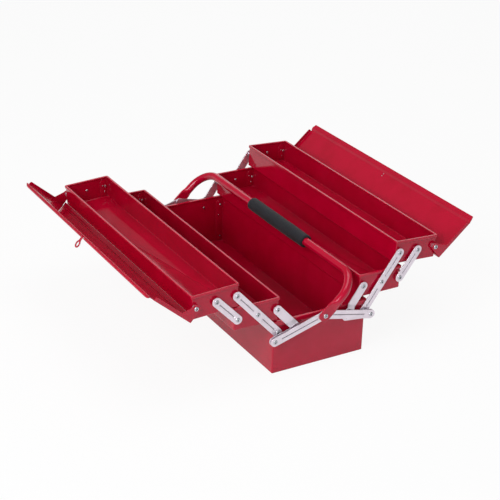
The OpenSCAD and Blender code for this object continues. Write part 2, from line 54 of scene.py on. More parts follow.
# ---------------------------------------------------------------- sizes of the box
SHEET = 1.0
CORNER = 2.4
BASE_LENGTH, BASE_WIDTH, BASE_HEIGHT = 530.0, 192.0, 104.6
BASE_ROLL_REACH, BASE_ROLL_HEIGHT = 3.0, 10.0
TRAY_WIDTH, TRAY_HEIGHT, TRAY_RISE, TRAY_INSET = 92.6, 44.2, 23.0, 7.3
TRAY_ROLL_REACH, TRAY_ROLL_HEIGHT = 2.0, 5.2
TRAY_DROOP = 3.0
RIM_CURVE, RIM_BEAD, MITRE_DEPTH, MITRE_START = 0.8, 1.3, 0.35, 0.4
BEAD_TUCK = ((1.0, 1.6), (0.5, 2.6), (0.0, 3.2))
BOX_FOLD, INSIDE_FOLD = 2.0, 1.6
PITCH, LINK, PIVOT_OUT = 39.5, 61.4, 90.0
PIVOT_UP = BASE_HEIGHT - 20.6
OPEN_ANGLE = {LEFT: 47.5, RIGHT: 54.5}
LINK_WIDTH, LINK_THICK, BAR_WIDTH = 17.0, 1.8, 17.0
CRANK_ARM, CRANK_ANGLE, CRANK_STEP, CRANK_RUN = 51.0, 61.0, 40.0, 6.0
HANDLE_RISE = 26.1
LID_SHEET, LID_SWING = 0.9, 136.2
HINGE_FLANGE, END_LIP = 9.9, 7.5
STEP_WIDTH, STEP_DROP, STEP_RUN, HEM_WIDTH = 14.8, 2.6, 6.0, 8.0
TUBE, HANDLE_HEIGHT, BEND, LEAN = 16.0, 86.8, 46.3, 47.3
FLAT_WIDTH, FLAT_THICK = 23.0, 3.4
GRIP_LENGTH, GRIP_THICK, GRIP_SHIFT = 199.0, 26.4, 12.0
RIVET_HEAD, RIVET_RISE, LOW_HEAD, HINGE_HEAD = 9.0, 1.6, 1.2, 8.4
CLINCH, CLINCH_RISE, FLAP_THICK = 5.6, 1.2, 0.6
FACE_PLAY, LAYER_GAP = 0.1, 0.3

END_X = BASE_LENGTH / 2
LINK_X = END_X + 3.8 + FACE_PLAY
HEAD_X = LINK_X + LINK_THICK + FACE_PLAY
LID_X = LINK_X + LINK_THICK + 0.4
FOOT_X = HEAD_X + RIVET_RISE + LAYER_GAP
LOW_X = FOOT_X + LINK_THICK + FACE_PLAY
RIGHT_BAR_X = LOW_X + LOW_HEAD + LAYER_GAP
LEFT_BAR_X = RIGHT_BAR_X + LINK_THICK + LAYER_GAP
FLAT_X = LEFT_BAR_X + LINK_THICK + FACE_PLAY
TUBE_X = FLAT_X + FLAT_THICK / 2


def along(degrees, length):
    """A step of that length at that angle from the outward line."""
    a = math.radians(degrees)
    return np.array([length * math.cos(a), length * math.sin(a)])


def angle_of(v):
    """Direction of a flat vector in degrees, from the outward line toward up."""
    return math.degrees(math.atan2(v[1], v[0]))


BASE_OUTER = np.array([PIVOT_OUT, PIVOT_UP])
BASE_INNER = np.array([PIVOT_OUT - PITCH, PIVOT_UP])
ACROSS = np.array([PITCH, 0.0])
PIVOTS = {}
for side, _ in SIDES:
    angle = OPEN_ANGLE[side]
    middle = BASE_OUTER + along(angle, LINK)
    top = BASE_OUTER + along(angle, 2 * LINK)
    PIVOTS[side] = {
        "inner": middle - ACROSS,
        "outer": middle + ACROSS,
        "top": top,
        "top_outer": top + along(-TRAY_DROOP, PITCH),
        "lift": BASE_INNER + along(angle - CRANK_ANGLE, CRANK_ARM),
    }
LIFT_LEFT = PIVOTS[LEFT]["lift"] * [-1, 1]
LIFT_RIGHT = PIVOTS[RIGHT]["lift"]
HANDLE_PIVOT = (LIFT_LEFT + LIFT_RIGHT) / 2 + along(
    angle_of(LIFT_RIGHT - LIFT_LEFT) + 90, HANDLE_RISE
)


# ---------------------------------------------------------------- moving point arrays about
def turn_x(p, degrees):
    """Points turned about X, Y toward Z."""
    a = math.radians(degrees)
    c, s = math.cos(a), math.sin(a)
    q = p.copy()
    q[..., 1] = c * p[..., 1] - s * p[..., 2]
    q[..., 2] = s * p[..., 1] + c * p[..., 2]
    return q


def place(p, side, spot, degrees=0.0):
    """Points drawn about a pivot, turned, carried to that [outward, up] spot and mirrored to a side."""
    q = turn_x(p, degrees)
    q[..., 1] = (q[..., 1] + spot[0]) * side
    q[..., 2] += spot[1]
    return q


def flip_end(p, end):
    """Points mirrored to the far end where the end is -1."""
    return p * [end, 1, 1]


# ---------------------------------------------------------------- surfaces to meshes
class Shell:
    """Points and faces of one piece, gathered from several grids and caps."""

    def __init__(self):
        self.points = []
        self.faces = []
        self.count = 0

    def grid(self, p, ends="caps"):
        """Joins the closed rows of an m by n grid with quads. The end rows are filled with caps,
        joined to each other as a ring, or left where they already close on themselves."""
        m, n = p.shape[:2]
        i = np.arange(m if ends == "ring" else m - 1)[:, None]
        j = np.arange(n)[None, :]
        k, up = (j + 1) % n, (i + 1) % m
        faces = np.stack([i * n + j, i * n + k, up * n + k, up * n + j], -1).reshape(-1, 4).tolist()
        if ends == "caps":
            faces.append(list(range(n - 1, -1, -1)))
            faces.append([(m - 1) * n + v for v in range(n)])
        flat = p.reshape(-1, 3)
        if signed_volume(flat, faces) < 0:
            faces = [f[::-1] for f in faces]
        self.faces += [[v + self.count for v in f] for f in faces]
        self.points.append(flat)
        self.count += len(flat)
        return self


def signed_volume(points, faces):
    """Sum over fan triangles of a . (b x c) / 6: positive when faces point outwards."""
    total = 0.0
    for size in sorted({len(f) for f in faces}):
        f = np.array([g for g in faces if len(g) == size])
        a = points[f[:, :1]]
        b, c = points[f[:, 1:-1]], points[f[:, 2:]]
        total += np.einsum("ijk,ijk->", np.broadcast_to(a, b.shape), np.cross(b, c)) / 6
    return total


def make(name, shell, material, body, replaces=(), sharp=32.0):
    """Turns a shell into a piece that rides on a body, smooth but for edges past the sharp angle."""
    mesh = bpy.data.meshes.new(name)
    mesh.from_pydata((np.concatenate(shell.points) * MM).tolist(), [], shell.faces)
    whole = bmesh.new()
    whole.from_mesh(mesh)
    bmesh.ops.remove_doubles(whole, verts=whole.verts, dist=WELD)
    whole.to_mesh(mesh)
    whole.free()
    mesh.polygons.foreach_set("use_smooth", np.ones(len(mesh.polygons), bool))
    mesh.set_sharp_from_angle(angle=math.radians(sharp))
    mesh.materials.append(material)
    mesh.update()
    piece = bpy.data.objects.new(name, mesh)
    bpy.context.scene.collection.objects.link(piece)
    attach(piece, body)
    if replaces:
        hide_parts(*replaces)
    return piece


def circle_angles(count):
    """Angles evenly spaced round a circle, without the last one that would meet the first."""
    return np.linspace(0, 2 * math.pi, count, endpoint=False)


def squared(wave, power):
    """A sine or cosine raised to a power with its sign kept: below 1 it squares off the circle."""
    return np.sign(wave) * np.abs(wave) ** power


def directions(line, closed=False):
    """Unit directions along a line: the difference of each point's two neighbours over its length."""
    step = np.roll(line, -1, 0) - np.roll(line, 1, 0) if closed else np.gradient(line, axis=0)
    return step / np.linalg.norm(step, axis=1)[:, None]


def arc(centre, radius, start, stop, steps):
    """Points of a circle arc between two angles in degrees."""
    a = np.radians(np.linspace(start, stop, steps + 1))
    return np.stack([centre[0] + radius * np.cos(a), centre[1] + radius * np.sin(a)], -1)


def rounded_line(corners, radii, steps=6):
    """A bent line: each corner is replaced by a tangent arc of its radius."""
    corners = [np.array(c, float) for c in corners]
    out = [corners[0]]
    for a, b, c, r in zip(corners, corners[1:], corners[2:], radii):
        u, v = (a - b) / np.linalg.norm(a - b), (c - b) / np.linalg.norm(c - b)
        half = math.acos(np.clip(u @ v, -1, 1)) / 2
        reach = r / math.tan(half)
        centre = b + (u + v) / np.linalg.norm(u + v) * r / math.sin(half)
        start, stop = b + u * reach - centre, b + v * reach - centre
        a0, a1 = angle_of(start), angle_of(stop)
        a1 = a0 + (a1 - a0 + 180) % 360 - 180
        out += list(arc(centre, r, a0, a1, steps))
    return np.array(out + [corners[-1]])


def thick_line(line, thickness):
    """Closed outline of a bent line of that thickness: both offsets and round ends."""
    step = directions(line)
    normal = np.stack([-step[:, 1], step[:, 0]], -1)
    h = thickness / 2
    heading = angle_of(step[-1])
    tail = angle_of(step[0])
    nose = arc(line[-1], h, heading + 90, heading - 90, 6)[1:-1]
    back = arc(line[0], h, tail - 90, tail - 270, 6)[1:-1]
    return np.concatenate([line + h * normal, nose, (line - h * normal)[::-1], back])


# ---------------------------------------------------------------- pressed boxes
def plan_line(half_x, y_in, y_out, radius, corner_steps=8, long_steps=28, short_steps=10):
    """Rounded rectangle of four quarter circles and straight runs: its points, their outward
    directions and which of them sit in a corner's middle."""
    spots, normals, seams = [], [], []
    centres = [
        (half_x - radius, y_out - radius, 0, long_steps),
        (-half_x + radius, y_out - radius, 90, short_steps),
        (-half_x + radius, y_in + radius, 180, long_steps),
        (half_x - radius, y_in + radius, 270, short_steps),
    ]
    for k, (cx, cy, start, run) in enumerate(centres):
        a = np.radians(start + np.linspace(0, 90, corner_steps + 1))
        n = np.stack([np.cos(a), np.sin(a)], -1)
        corner = np.array([cx, cy]) + radius * n
        spots.append(corner)
        normals.append(n)
        seams.append(np.arange(corner_steps + 1) == corner_steps // 2)
        end = np.array(centres[(k + 1) % 4][:2]) + radius * n[-1]
        t = np.linspace(0, 1, run + 1)[1:-1, None]
        spots.append(corner[-1] * (1 - t) + end * t)
        normals.append(np.repeat(n[-1:], len(t), 0))
        seams.append(np.zeros(len(t), bool))
    return np.concatenate(spots), np.concatenate(normals), np.concatenate(seams)


def pressed_box(half_x, y_in, y_out, z_low, z_top, reach, roll):
    """Sheet box with a rolled rim: rings of the rounded plan, each set off from the wall and raised
    as the profile says."""
    spots, normals, seams = plan_line(half_x, y_in, y_out, CORNER)
    radius = (reach + SHEET) / 2
    middle = (reach - SHEET) / 2
    lip = math.degrees(math.acos(-middle / radius))
    low, brow = z_top - roll + radius, z_top - RIM_CURVE
    wall_top = low - radius * math.sin(math.radians(lip))
    fold, inner = BOX_FOLD, INSIDE_FOLD
    profile = np.concatenate([
        arc((-fold, z_low + fold), fold, -90, 0, 6),
        [[0, z_low + fold + 1], [0, wall_top - 1.0]],
        arc((middle, low), radius, -lip, 0, 8),
        arc((reach - RIM_CURVE, brow), RIM_CURVE, 0, 90, 6),
        arc((-SHEET - RIM_BEAD + RIM_CURVE, brow), RIM_CURVE, 90, 180, 6),
        [[-SHEET - RIM_BEAD * share, brow - drop] for share, drop in BEAD_TUCK],
        [[-SHEET, z_low + SHEET + inner + 1]],
        arc((-SHEET - inner, z_low + SHEET + inner), inner, 0, -90, 6),
    ])
    offset, height = profile[:, :1], profile[:, 1:]
    # The rim's corners are mitred: a fine groove crosses the roll there
    rolled = (height > low - radius * 0.6) & (offset > MITRE_START)
    sink = np.where(rolled & seams[None, :], MITRE_DEPTH, 0.0)
    flat = spots[None] + (offset - sink)[..., None] * normals[None]
    z = np.broadcast_to(height, flat.shape[:2])
    return np.concatenate([flat, z[..., None]], -1)


# ---------------------------------------------------------------- strips, plates and rivets
STRIP_EDGE, SPINE_STEP = 0.45, 0.8
GROOVE_REACH = [0.0, 0.4, 0.65, 0.85, 1.1, 1.9]
GROOVE_DEPTH = np.array([1.1, 1.05, 0.6, 0.12, 0.0, 0.0])
PUNCH_DEPTH = np.array([1.25, 1.2, 1.1, 0.95, 0.65, 0.0])
GROOVE_FADE, PUNCH_INSET, PUNCH_HALF, PUNCH_FADE = 0.8, 1.5, 1.6, 0.9


def strip_grid(start, stop, x, width, grooves):
    """Strip with round ends between two [outward, up] pivots: rings round its spine, each moved out from
    the spine and raised by the half profile. A pressed groove sinks the rings nearest the spine, and
    a deeper punch mark sits at each of its ends."""
    start, stop = np.array(start, float), np.array(stop, float)
    length = np.linalg.norm(stop - start)
    unit = (stop - start) / length
    side = np.array([-unit[1], unit[0]])
    t = np.linspace(0, length, int(length / SPINE_STEP))
    a = np.radians(np.linspace(-90, 90, 17))[1:-1]
    spine = np.concatenate([t, np.full(len(a), length), t[::-1], np.zeros(len(a))])
    out_u = np.concatenate([0 * t, np.cos(a), 0 * t, -np.cos(a)])
    out_v = np.concatenate([0 * t - 1, np.sin(a), 0 * t + 1, -np.sin(a)])
    half, thick, edge = width / 2, LINK_THICK, STRIP_EDGE
    rim = arc((half - edge, thick - edge), edge, 90, 0, 4)
    foot = arc((half - edge, edge), edge, 0, -90, 4)
    inner = len(GROOVE_REACH)
    reach = np.concatenate([GROOVE_REACH, rim[:, 0], foot[:, 0], [1.0, 0.0]])
    rise = np.concatenate([np.full(inner, thick), rim[:, 1], foot[:, 1], [0.0, 0.0]])
    sink = np.zeros((len(reach), len(spine)))
    for low, high in grooves:
        inside = np.minimum(spine - low, high - spine)
        window = np.clip(inside / GROOVE_FADE, 0, 1)
        punch = np.clip(PUNCH_HALF - np.abs(inside - PUNCH_INSET), 0, PUNCH_FADE) / PUNCH_FADE
        pressed = np.maximum(GROOVE_DEPTH[:, None] * window, PUNCH_DEPTH[:, None] * punch)
        sink[:inner] = np.maximum(sink[:inner], pressed)
    centre = start + spine[:, None] * unit
    heading = out_u[:, None] * unit + out_v[:, None] * side
    yz = centre[None] + reach[:, None, None] * heading[None]
    xs = x + rise[:, None] - sink
    return np.concatenate([xs[..., None], yz], -1)


def turned(profile, spot, steps=28):
    """Half profile of (distance along X, radius) turned about a line along X through an
    [outward, up] spot."""
    a = circle_angles(steps)
    x = np.broadcast_to(profile[:, :1], (len(profile), steps))
    y = spot[0] + profile[:, 1:] * np.cos(a)
    z = spot[1] + profile[:, 1:] * np.sin(a)
    return np.stack([x, y, z], -1)


def head_profile(x, diameter=RIVET_HEAD, rise=RIVET_RISE):
    """Domed semi-tubular head: flat seat, rounded brim, dome and a rolled hollow in the middle."""
    r = diameter / 2
    return np.array([
        [x - 0.4, r * 0.55], [x, r * 0.8], [x, r * 0.96], [x + rise * 0.16, r],
        [x + rise * 0.4, r * 0.97], [x + rise * 0.66, r * 0.88], [x + rise * 0.88, r * 0.74],
        [x + rise * 0.98, r * 0.62], [x + rise, r * 0.55], [x + rise * 0.94, r * 0.48],
        [x + rise * 0.72, r * 0.43], [x + rise * 0.06, r * 0.4], [x + rise * 0.02, r * 0.05],
    ])


def clinch_profile(x, diameter=CLINCH, rise=CLINCH_RISE):
    """Pan head on the inside of a wall, facing the middle of the box."""
    r = diameter / 2
    return np.array([
        [x + 0.3, r * 0.5], [x, r * 0.95], [x - rise * 0.3, r], [x - rise * 0.6, r * 0.9],
        [x - rise * 0.85, r * 0.68], [x - rise * 0.97, r * 0.4], [x - rise, r * 0.06],
    ])


def flat_head_profile(x, diameter=RIVET_HEAD, rise=LOW_HEAD):
    """Low flat head: straight brim, eased edge and a shallow dimple in the middle."""
    r = diameter / 2
    return np.array([
        [x - 0.4, r * 0.55], [x, r * 0.96], [x + rise * 0.2, r], [x + rise * 0.75, r],
        [x + rise * 0.97, r * 0.92], [x + rise, r * 0.8], [x + rise, r * 0.3],
        [x + rise * 0.8, r * 0.22], [x + rise * 0.7, r * 0.05],
    ])


def plug_profile(x0, x1, radius=2.5):
    """Plain shank: a cylinder from one place along X to another."""
    return np.array([[x0, radius * 0.1], [x0, radius], [x1, radius], [x1, radius * 0.1]])


def each_end(shell, grid, ends="caps"):
    """Adds a grid at the near end and its mirror at the far end."""
    for end in NEAR_FAR:
        shell.grid(flip_end(grid, end), ends)
    return shell


# ---------------------------------------------------------------- shader node groups
def new_group(name, inputs, outputs):
    """Empty shader group with named sockets: (socket type, name, default)."""
    tree = bpy.data.node_groups.new(name, "ShaderNodeTree")
    for kind, label, default in inputs:
        socket = tree.interface.new_socket(label, in_out="INPUT", socket_type=kind)
        if default is not None:
            socket.default_value = default
    for kind, label in outputs:
        tree.interface.new_socket(label, in_out="OUTPUT", socket_type=kind)
    return tree, tree.nodes.new("NodeGroupInput"), tree.nodes.new("NodeGroupOutput")


def node(tree, kind, links=None, **values):
    """A node with its properties set and its inputs linked or filled in by name or number."""
    n = tree.nodes.new(kind)
    for key, value in values.items():
        setattr(n, key, value)
    for key, value in (links or {}).items():
        if isinstance(value, bpy.types.NodeSocket):
            tree.links.new(value, n.inputs[key])
        else:
            n.inputs[key].default_value = value
    return n


def noise(tree, vector, scale, detail, rough):
    """Fractal noise between 0 and 1; the scale is in waves per metre."""
    return node(tree, "ShaderNodeTexNoise", {
        "Vector": vector, "Scale": scale, "Detail": detail, "Roughness": rough}).outputs["Fac"]


def remap(tree, value, low, high, to_low=0.0, to_high=1.0):
    """A value stretched from one range to another and held at its ends."""
    return node(tree, "ShaderNodeMapRange", {
        "Value": value, "From Min": low, "From Max": high, "To Min": to_low, "To Max": to_high,
    }).outputs["Result"]


def maths(tree, operation, a, b):
    """One sum, product or maximum of two sockets or numbers."""
    return node(tree, "ShaderNodeMath", {0: a, 1: b}, operation=operation).outputs[0]


FLOAT, VECTOR = "NodeSocketFloat", "NodeSocketVector"


def edge_wear_group():
    """Mask of the bare edges: the angle between the true and the rounded normal, broken up by noise."""
    tree, gin, gout = new_group("edge wear", [
        (VECTOR, "Vector", None), (FLOAT, "Radius", 0.0012), (FLOAT, "Amount", 0.5)],
        [(FLOAT, "Mask")])
    soft = node(tree, "ShaderNodeBevel", {"Radius": gin.outputs["Radius"]}, samples=4)
    plain = node(tree, "ShaderNodeNewGeometry")
    dot = node(tree, "ShaderNodeVectorMath", {0: soft.outputs[0], 1: plain.outputs["Normal"]},
               operation="DOT_PRODUCT").outputs["Value"]
    edge = remap(tree, dot, 0.995, 0.86)
    speckle = remap(tree, noise(tree, gin.outputs["Vector"], 420.0, 4.0, 0.65), 0.42, 0.72)
    mask = maths(tree, "MULTIPLY", maths(tree, "MULTIPLY", edge, speckle), gin.outputs["Amount"])
    tree.links.new(mask, gout.inputs["Mask"])
    return tree


def orange_peel_group():
    """Height of sprayed enamel: fine orange peel on a slow unevenness of the pressed sheet."""
    tree, gin, gout = new_group("orange peel", [
        (VECTOR, "Vector", None), (FLOAT, "Peel", 1.0), (FLOAT, "Wave", 1.0)], [(FLOAT, "Height")])
    peel = noise(tree, gin.outputs["Vector"], 520.0, 2.0, 0.4)
    wave = noise(tree, gin.outputs["Vector"], 16.0, 1.0, 0.4)
    a = maths(tree, "MULTIPLY", peel, gin.outputs["Peel"])
    b = maths(tree, "MULTIPLY", wave, gin.outputs["Wave"])
    tree.links.new(maths(tree, "ADD", a, b), gout.inputs["Height"])
    return tree


def handling_group():
    """Faint smears and dust that break up the gloss: two sizes of stretched noise."""
    tree, gin, gout = new_group("handling", [
        (VECTOR, "Vector", None), (FLOAT, "Low", 0.1), (FLOAT, "High", 0.2)], [(FLOAT, "Roughness")])
    stretch = node(tree, "ShaderNodeMapping", {"Vector": gin.outputs["Vector"], "Scale": (0.5, 1.0, 1.3)})
    big = noise(tree, stretch.outputs[0], 14.0, 3.0, 0.55)
    small = noise(tree, stretch.outputs[0], 90.0, 4.0, 0.6)
    mixed = maths(tree, "ADD", maths(tree, "MULTIPLY", big, 0.65), maths(tree, "MULTIPLY", small, 0.35))
    low, high = gin.outputs["Low"], gin.outputs["High"]
    spread = maths(tree, "SUBTRACT", high, low)
    value = maths(tree, "ADD", low, maths(tree, "MULTIPLY", remap(tree, mixed, 0.36, 0.66), spread))
    tree.links.new(value, gout.inputs["Roughness"])
    return tree


def recess_group():
    """Mask of painted shade in grooves, hollows and seams: how closed-in a spot is, broken up by noise."""
    tree, gin, gout = new_group("recess shade", [
        (VECTOR, "Vector", None), (FLOAT, "Reach", 0.002), (FLOAT, "Amount", 0.6)], [(FLOAT, "Mask")])
    # Ambient occlusion decides where the painted shade falls: the more a spot is closed in, the darker.
    shade = node(tree, "ShaderNodeAmbientOcclusion", {"Distance": gin.outputs["Reach"]},
                 samples=6, only_local=True)
    closed = remap(tree, shade.outputs["AO"], 0.94, 0.52)
    blotch = remap(tree, noise(tree, gin.outputs["Vector"], 240.0, 3.0, 0.6), 0.3, 0.6, 0.6, 1.0)
    mask = maths(tree, "MULTIPLY", maths(tree, "MULTIPLY", closed, blotch), gin.outputs["Amount"])
    tree.links.new(mask, gout.inputs["Mask"])
    return tree


def depth_group():
    """Mask of painted shade on the insides of bins, trays and lids: how deep down between its own walls a
    spot lies.
    """
    tree, gin, gout = new_group("depth shade", [
        (FLOAT, "Reach", 0.08), (FLOAT, "Amount", 0.25)], [(FLOAT, "Mask")])
    shade = node(tree, "ShaderNodeAmbientOcclusion", {"Distance": gin.outputs["Reach"]},
                 samples=6, only_local=True)
    closed = remap(tree, shade.outputs["AO"], 0.95, 0.45)
    tree.links.new(maths(tree, "MULTIPLY", closed, gin.outputs["Amount"]), gout.inputs["Mask"])
    return tree


GROUPS = {"wear": edge_wear_group(), "peel": orange_peel_group(), "handling": handling_group(),
          "recess": recess_group(), "depth": depth_group()}


def put_group(tree, key, links):
    """Places a shared group in a material with its own values, and gives its output."""
    return node(tree, "ShaderNodeGroup", links, node_tree=GROUPS[key]).outputs[0]


def new_material(name):
    """Material with an empty Principled shader, and its Object coordinates."""
    material = bpy.data.materials.new(name)
    material.use_nodes = True
    tree = material.node_tree
    tree.nodes.clear()
    shader = tree.nodes.new("ShaderNodeBsdfPrincipled")
    out = tree.nodes.new("ShaderNodeOutputMaterial")
    tree.links.new(shader.outputs[0], out.inputs["Surface"])
    where = tree.nodes.new("ShaderNodeTexCoord").outputs["Object"]
    return material, tree, shader, where


def mix_colour(tree, factor, a, b):
    """Colour a where the factor is 0 and colour b where it is 1."""
    return node(tree, "ShaderNodeMix", {0: factor, 6: a, 7: b}, data_type="RGBA").outputs[2]


def set_bump(tree, shader, height, distance, strength):
    """Feeds a height over the surface to the shader's normal."""
    bump = node(tree, "ShaderNodeBump", {"Height": height, "Distance": distance, "Strength": strength})
    tree.links.new(bump.outputs[0], shader.inputs["Normal"])


# The very dark red beside the fleck red is painted shade for the enamel's creases, corners and steps.
FLECK_RED, CREASE_SHADE_RED = (0.75, 0.02, 0.06, 1), (0.12, 0.0, 0.004, 1)
# The dark red beside the rubbed red is painted shade for the deep insides of bins, trays and lids.
DEEP_SHADE_RED, RUBBED_RED = (0.17, 0.0, 0.006, 1), (0.68, 0.14, 0.19, 1)
CREASE_SHADE_REACH, DEEP_SHADE_REACH, RUB_REACH, SHADE_GREY_REACH = 0.0025, 0.08, 0.0009, 0.0022
# The dark grey is painted shade for the grooves, hollows and seams of zinc and rivet steel.
SHADE_GREY = (0.05, 0.05, 0.065, 1)
FOAM_BLACK, FOAM_BLOOM = (0.009, 0.0095, 0.013, 1), (0.017, 0.018, 0.024, 1)
FOAM_PORE = (0.003, 0.003, 0.005, 1)


def enamel(name, deep, light, wear=0.35):
    """Red stoving enamel: two close reds, painted shade in creases and deep insides, a hard clear gloss,
    orange peel and rubbed edges.
    """
    material, tree, shader, where = new_material(name)
    cloud = remap(tree, noise(tree, where, 22.0, 3.0, 0.55), 0.35, 0.65)
    fleck = remap(tree, noise(tree, where, 900.0, 1.0, 0.4), 0.3, 0.7)
    tone = mix_colour(tree, cloud, deep, light)
    tone = mix_colour(tree, maths(tree, "MULTIPLY", fleck, 0.04), tone, FLECK_RED)
    # Painted shade: creases, corners and steps darken toward a very dark red.
    crease_shade = put_group(tree, "recess", {"Vector": where, "Reach": CREASE_SHADE_REACH, "Amount": 0.15})
    tone = mix_colour(tree, crease_shade, tone, CREASE_SHADE_RED)
    # Painted shade: the deep insides of bins, trays and lids darken toward a dark red.
    inside = put_group(tree, "depth", {"Reach": DEEP_SHADE_REACH, "Amount": 0.3})
    tone = mix_colour(tree, inside, tone, DEEP_SHADE_RED)
    rubbed = put_group(tree, "wear", {"Vector": where, "Radius": RUB_REACH, "Amount": wear})
    tone = mix_colour(tree, rubbed, tone, RUBBED_RED)
    tree.links.new(tone, shader.inputs["Base Color"])
    gloss = put_group(tree, "handling", {"Vector": where, "Low": 0.09, "High": 0.16})
    tree.links.new(gloss, shader.inputs["Roughness"])
    shader.inputs["Specular IOR Level"].default_value = 0.5
    shader.inputs["Specular Tint"].default_value = (1.0, 0.86, 1.0, 1)
    shader.inputs["Coat Weight"].default_value = 0.08
    shader.inputs["Coat Roughness"].default_value = 0.06
    height = put_group(tree, "peel", {"Vector": where, "Peel": 0.05, "Wave": 1.0})
    set_bump(tree, shader, height, 0.0012, 0.5)
    return material


def zinc(name, colour, dark, shading=0.9, low=0.26, high=0.42, metal=0.85):
    """Zinc plating: pale, finely brushed and slightly cloudy, with dull smears and painted shade in its
    grooves, hollows and seams.
    """
    material, tree, shader, where = new_material(name)
    brushed = node(tree, "ShaderNodeMapping", {"Vector": where, "Scale": (1.0, 9.0, 1.6)})
    grain = noise(tree, brushed.outputs[0], 160.0, 5.0, 0.6)
    cloud = remap(tree, noise(tree, where, 55.0, 3.0, 0.55), 0.35, 0.68)
    tone = mix_colour(tree, maths(tree, "MULTIPLY", cloud, 0.5), colour, dark)
    # Painted shade: grooves, rivet hollows and seams darken toward a dark grey.
    recess_shade = put_group(tree, "recess", {"Vector": where, "Reach": SHADE_GREY_REACH, "Amount": shading})
    tone = mix_colour(tree, recess_shade, tone, SHADE_GREY)
    tree.links.new(tone, shader.inputs["Base Color"])
    shader.inputs["Metallic"].default_value = metal
    gloss = put_group(tree, "handling", {"Vector": where, "Low": low, "High": high})
    tree.links.new(gloss, shader.inputs["Roughness"])
    set_bump(tree, shader, grain, 0.00012, 0.5)
    return material


def foam(name):
    """Closed-cell foam sleeve: blue-black, matt, with small open cells and a dusty bloom."""
    material, tree, shader, where = new_material(name)
    cells = node(tree, "ShaderNodeTexVoronoi", {"Vector": where, "Scale": 1100.0, "Randomness": 1.0})
    pores = remap(tree, cells.outputs["Distance"], 0.1, 0.5)
    bloom = remap(tree, noise(tree, where, 60.0, 4.0, 0.6), 0.35, 0.7)
    tone = mix_colour(tree, bloom, FOAM_BLACK, FOAM_BLOOM)
    shut = maths(tree, "SUBTRACT", 1.0, pores)
    tone = mix_colour(tree, maths(tree, "MULTIPLY", shut, 0.5), tone, FOAM_PORE)
    tree.links.new(tone, shader.inputs["Base Color"])
    tree.links.new(remap(tree, bloom, 0, 1, 0.62, 0.8), shader.inputs["Roughness"])
    shader.inputs["Specular IOR Level"].default_value = 0.3
    shader.inputs["Sheen Weight"].default_value = 0.08
    shader.inputs["Sheen Roughness"].default_value = 0.5
    lumps = noise(tree, where, 210.0, 3.0, 0.55)
    set_bump(tree, shader, maths(tree, "ADD", maths(tree, "MULTIPLY", pores, 0.6), lumps), 0.0004, 0.7)
    return material


RED = enamel("red enamel", (0.44, 0.0002, 0.02, 1), (0.5, 0.0005, 0.026, 1))
RED_FITTING = enamel("red enamel on fittings", (0.46, 0.0003, 0.022, 1), (0.52, 0.0008, 0.03, 1),
                     wear=0.5)
ZINC = zinc("zinc plate", (0.84, 0.76, 0.84, 1), (0.68, 0.61, 0.68, 1))
STEEL = zinc("rivet steel", (0.62, 0.62, 0.66, 1), (0.42, 0.42, 0.47, 1), shading=0.95,
             low=0.2, high=0.34, metal=1.0)
FOAM = foam("grip foam")


# ---------------------------------------------------------------- base bin and trays
FLAP_FOOT, FLAP_WIDTH, FLAP_SHOULDER, FLAP_DROP = 13.0, 14.5, 9.0, 8.0
FLAP_ROUND, FLAP_CREASE, FLAP_EDGE, FLAP_SINK = 2.0, 0.4, 0.2, 0.1
WELD_WIDTH, WELD_RISE = 3.4, 0.6
FLAP_X = END_X - SHEET - FLAP_THICK


def corner_flaps(y_in, y_out, z_low, z_high):
    """The long walls' end tabs, folded over the inside of the end walls and spot welded there: each
    is a plate inside the hull of five circles, with two low turned domes on it."""
    grids, welds = [], []
    for wall, inward in ((y_in + SHEET, 1), (y_out - SHEET, -1)):
        corners = [
            ((FLAP_CREASE, z_low + 1), FLAP_CREASE), ((FLAP_FOOT, z_low + 3), FLAP_ROUND),
            ((FLAP_WIDTH, z_high - FLAP_DROP), FLAP_ROUND), ((FLAP_SHOULDER, z_high - 2), FLAP_ROUND),
            ((FLAP_CREASE, z_high - FLAP_CREASE), FLAP_CREASE)]
        spots = [((wall + inward * y, z), r) for (y, z), r in corners]
        loop = round_hull(spots if inward > 0 else spots[::-1], 5)
        grids.append(plate_rows(loop, FLAP_X, FLAP_THICK + FLAP_SINK, FLAP_EDGE))
        for y, z in ((6.0, z_low + 9.0), (10.0, z_low + 0.62 * (z_high - z_low))):
            dome = clinch_profile(FLAP_X, WELD_WIDTH, WELD_RISE)
            welds.append(turned(dome, [wall + inward * y, z], 16))
    return grids, welds


def build_base():
    """Base bin with its four end tabs, its link rivets with the tabs' welds, and its crank rivets."""
    half = BASE_WIDTH / 2
    shell = Shell().grid(pressed_box(
        END_X, -half, half, 0.0, BASE_HEIGHT, BASE_ROLL_REACH, BASE_ROLL_HEIGHT))
    flaps, welds = corner_flaps(-half, half, 4.0, BASE_HEIGHT - 8.0)
    for grid in flaps:
        each_end(shell, grid)
    make("bin", shell, RED, "base", ["base_bin"])
    rivets, cranks = Shell(), Shell()
    for side, _ in SIDES:
        for spot, shells, head, pad in ((BASE_OUTER, rivets, head_profile(HEAD_X), FLAP_THICK),
                                        (BASE_INNER, cranks, flat_head_profile(LOW_X), 0.0)):
            at = spot * [side, 1]
            shank = plug_profile(END_X, head[0, 0] + 0.2)
            for profile in (head, clinch_profile(END_X - SHEET - pad), shank):
                each_end(shells, turned(profile, at))
    for grid in welds:
        each_end(rivets, grid)
    make("bin_link_rivets", rivets, STEEL, "base", ["base_pivot_rivets"])
    make("bin_crank_rivets", cranks, STEEL, "base", ["base_crank_rivets"])


TRAY_IN, TRAY_OUT = TRAY_ROLL_REACH - TRAY_INSET, TRAY_WIDTH - TRAY_INSET - TRAY_ROLL_REACH
TRAY_TOP = TRAY_HEIGHT - TRAY_RISE


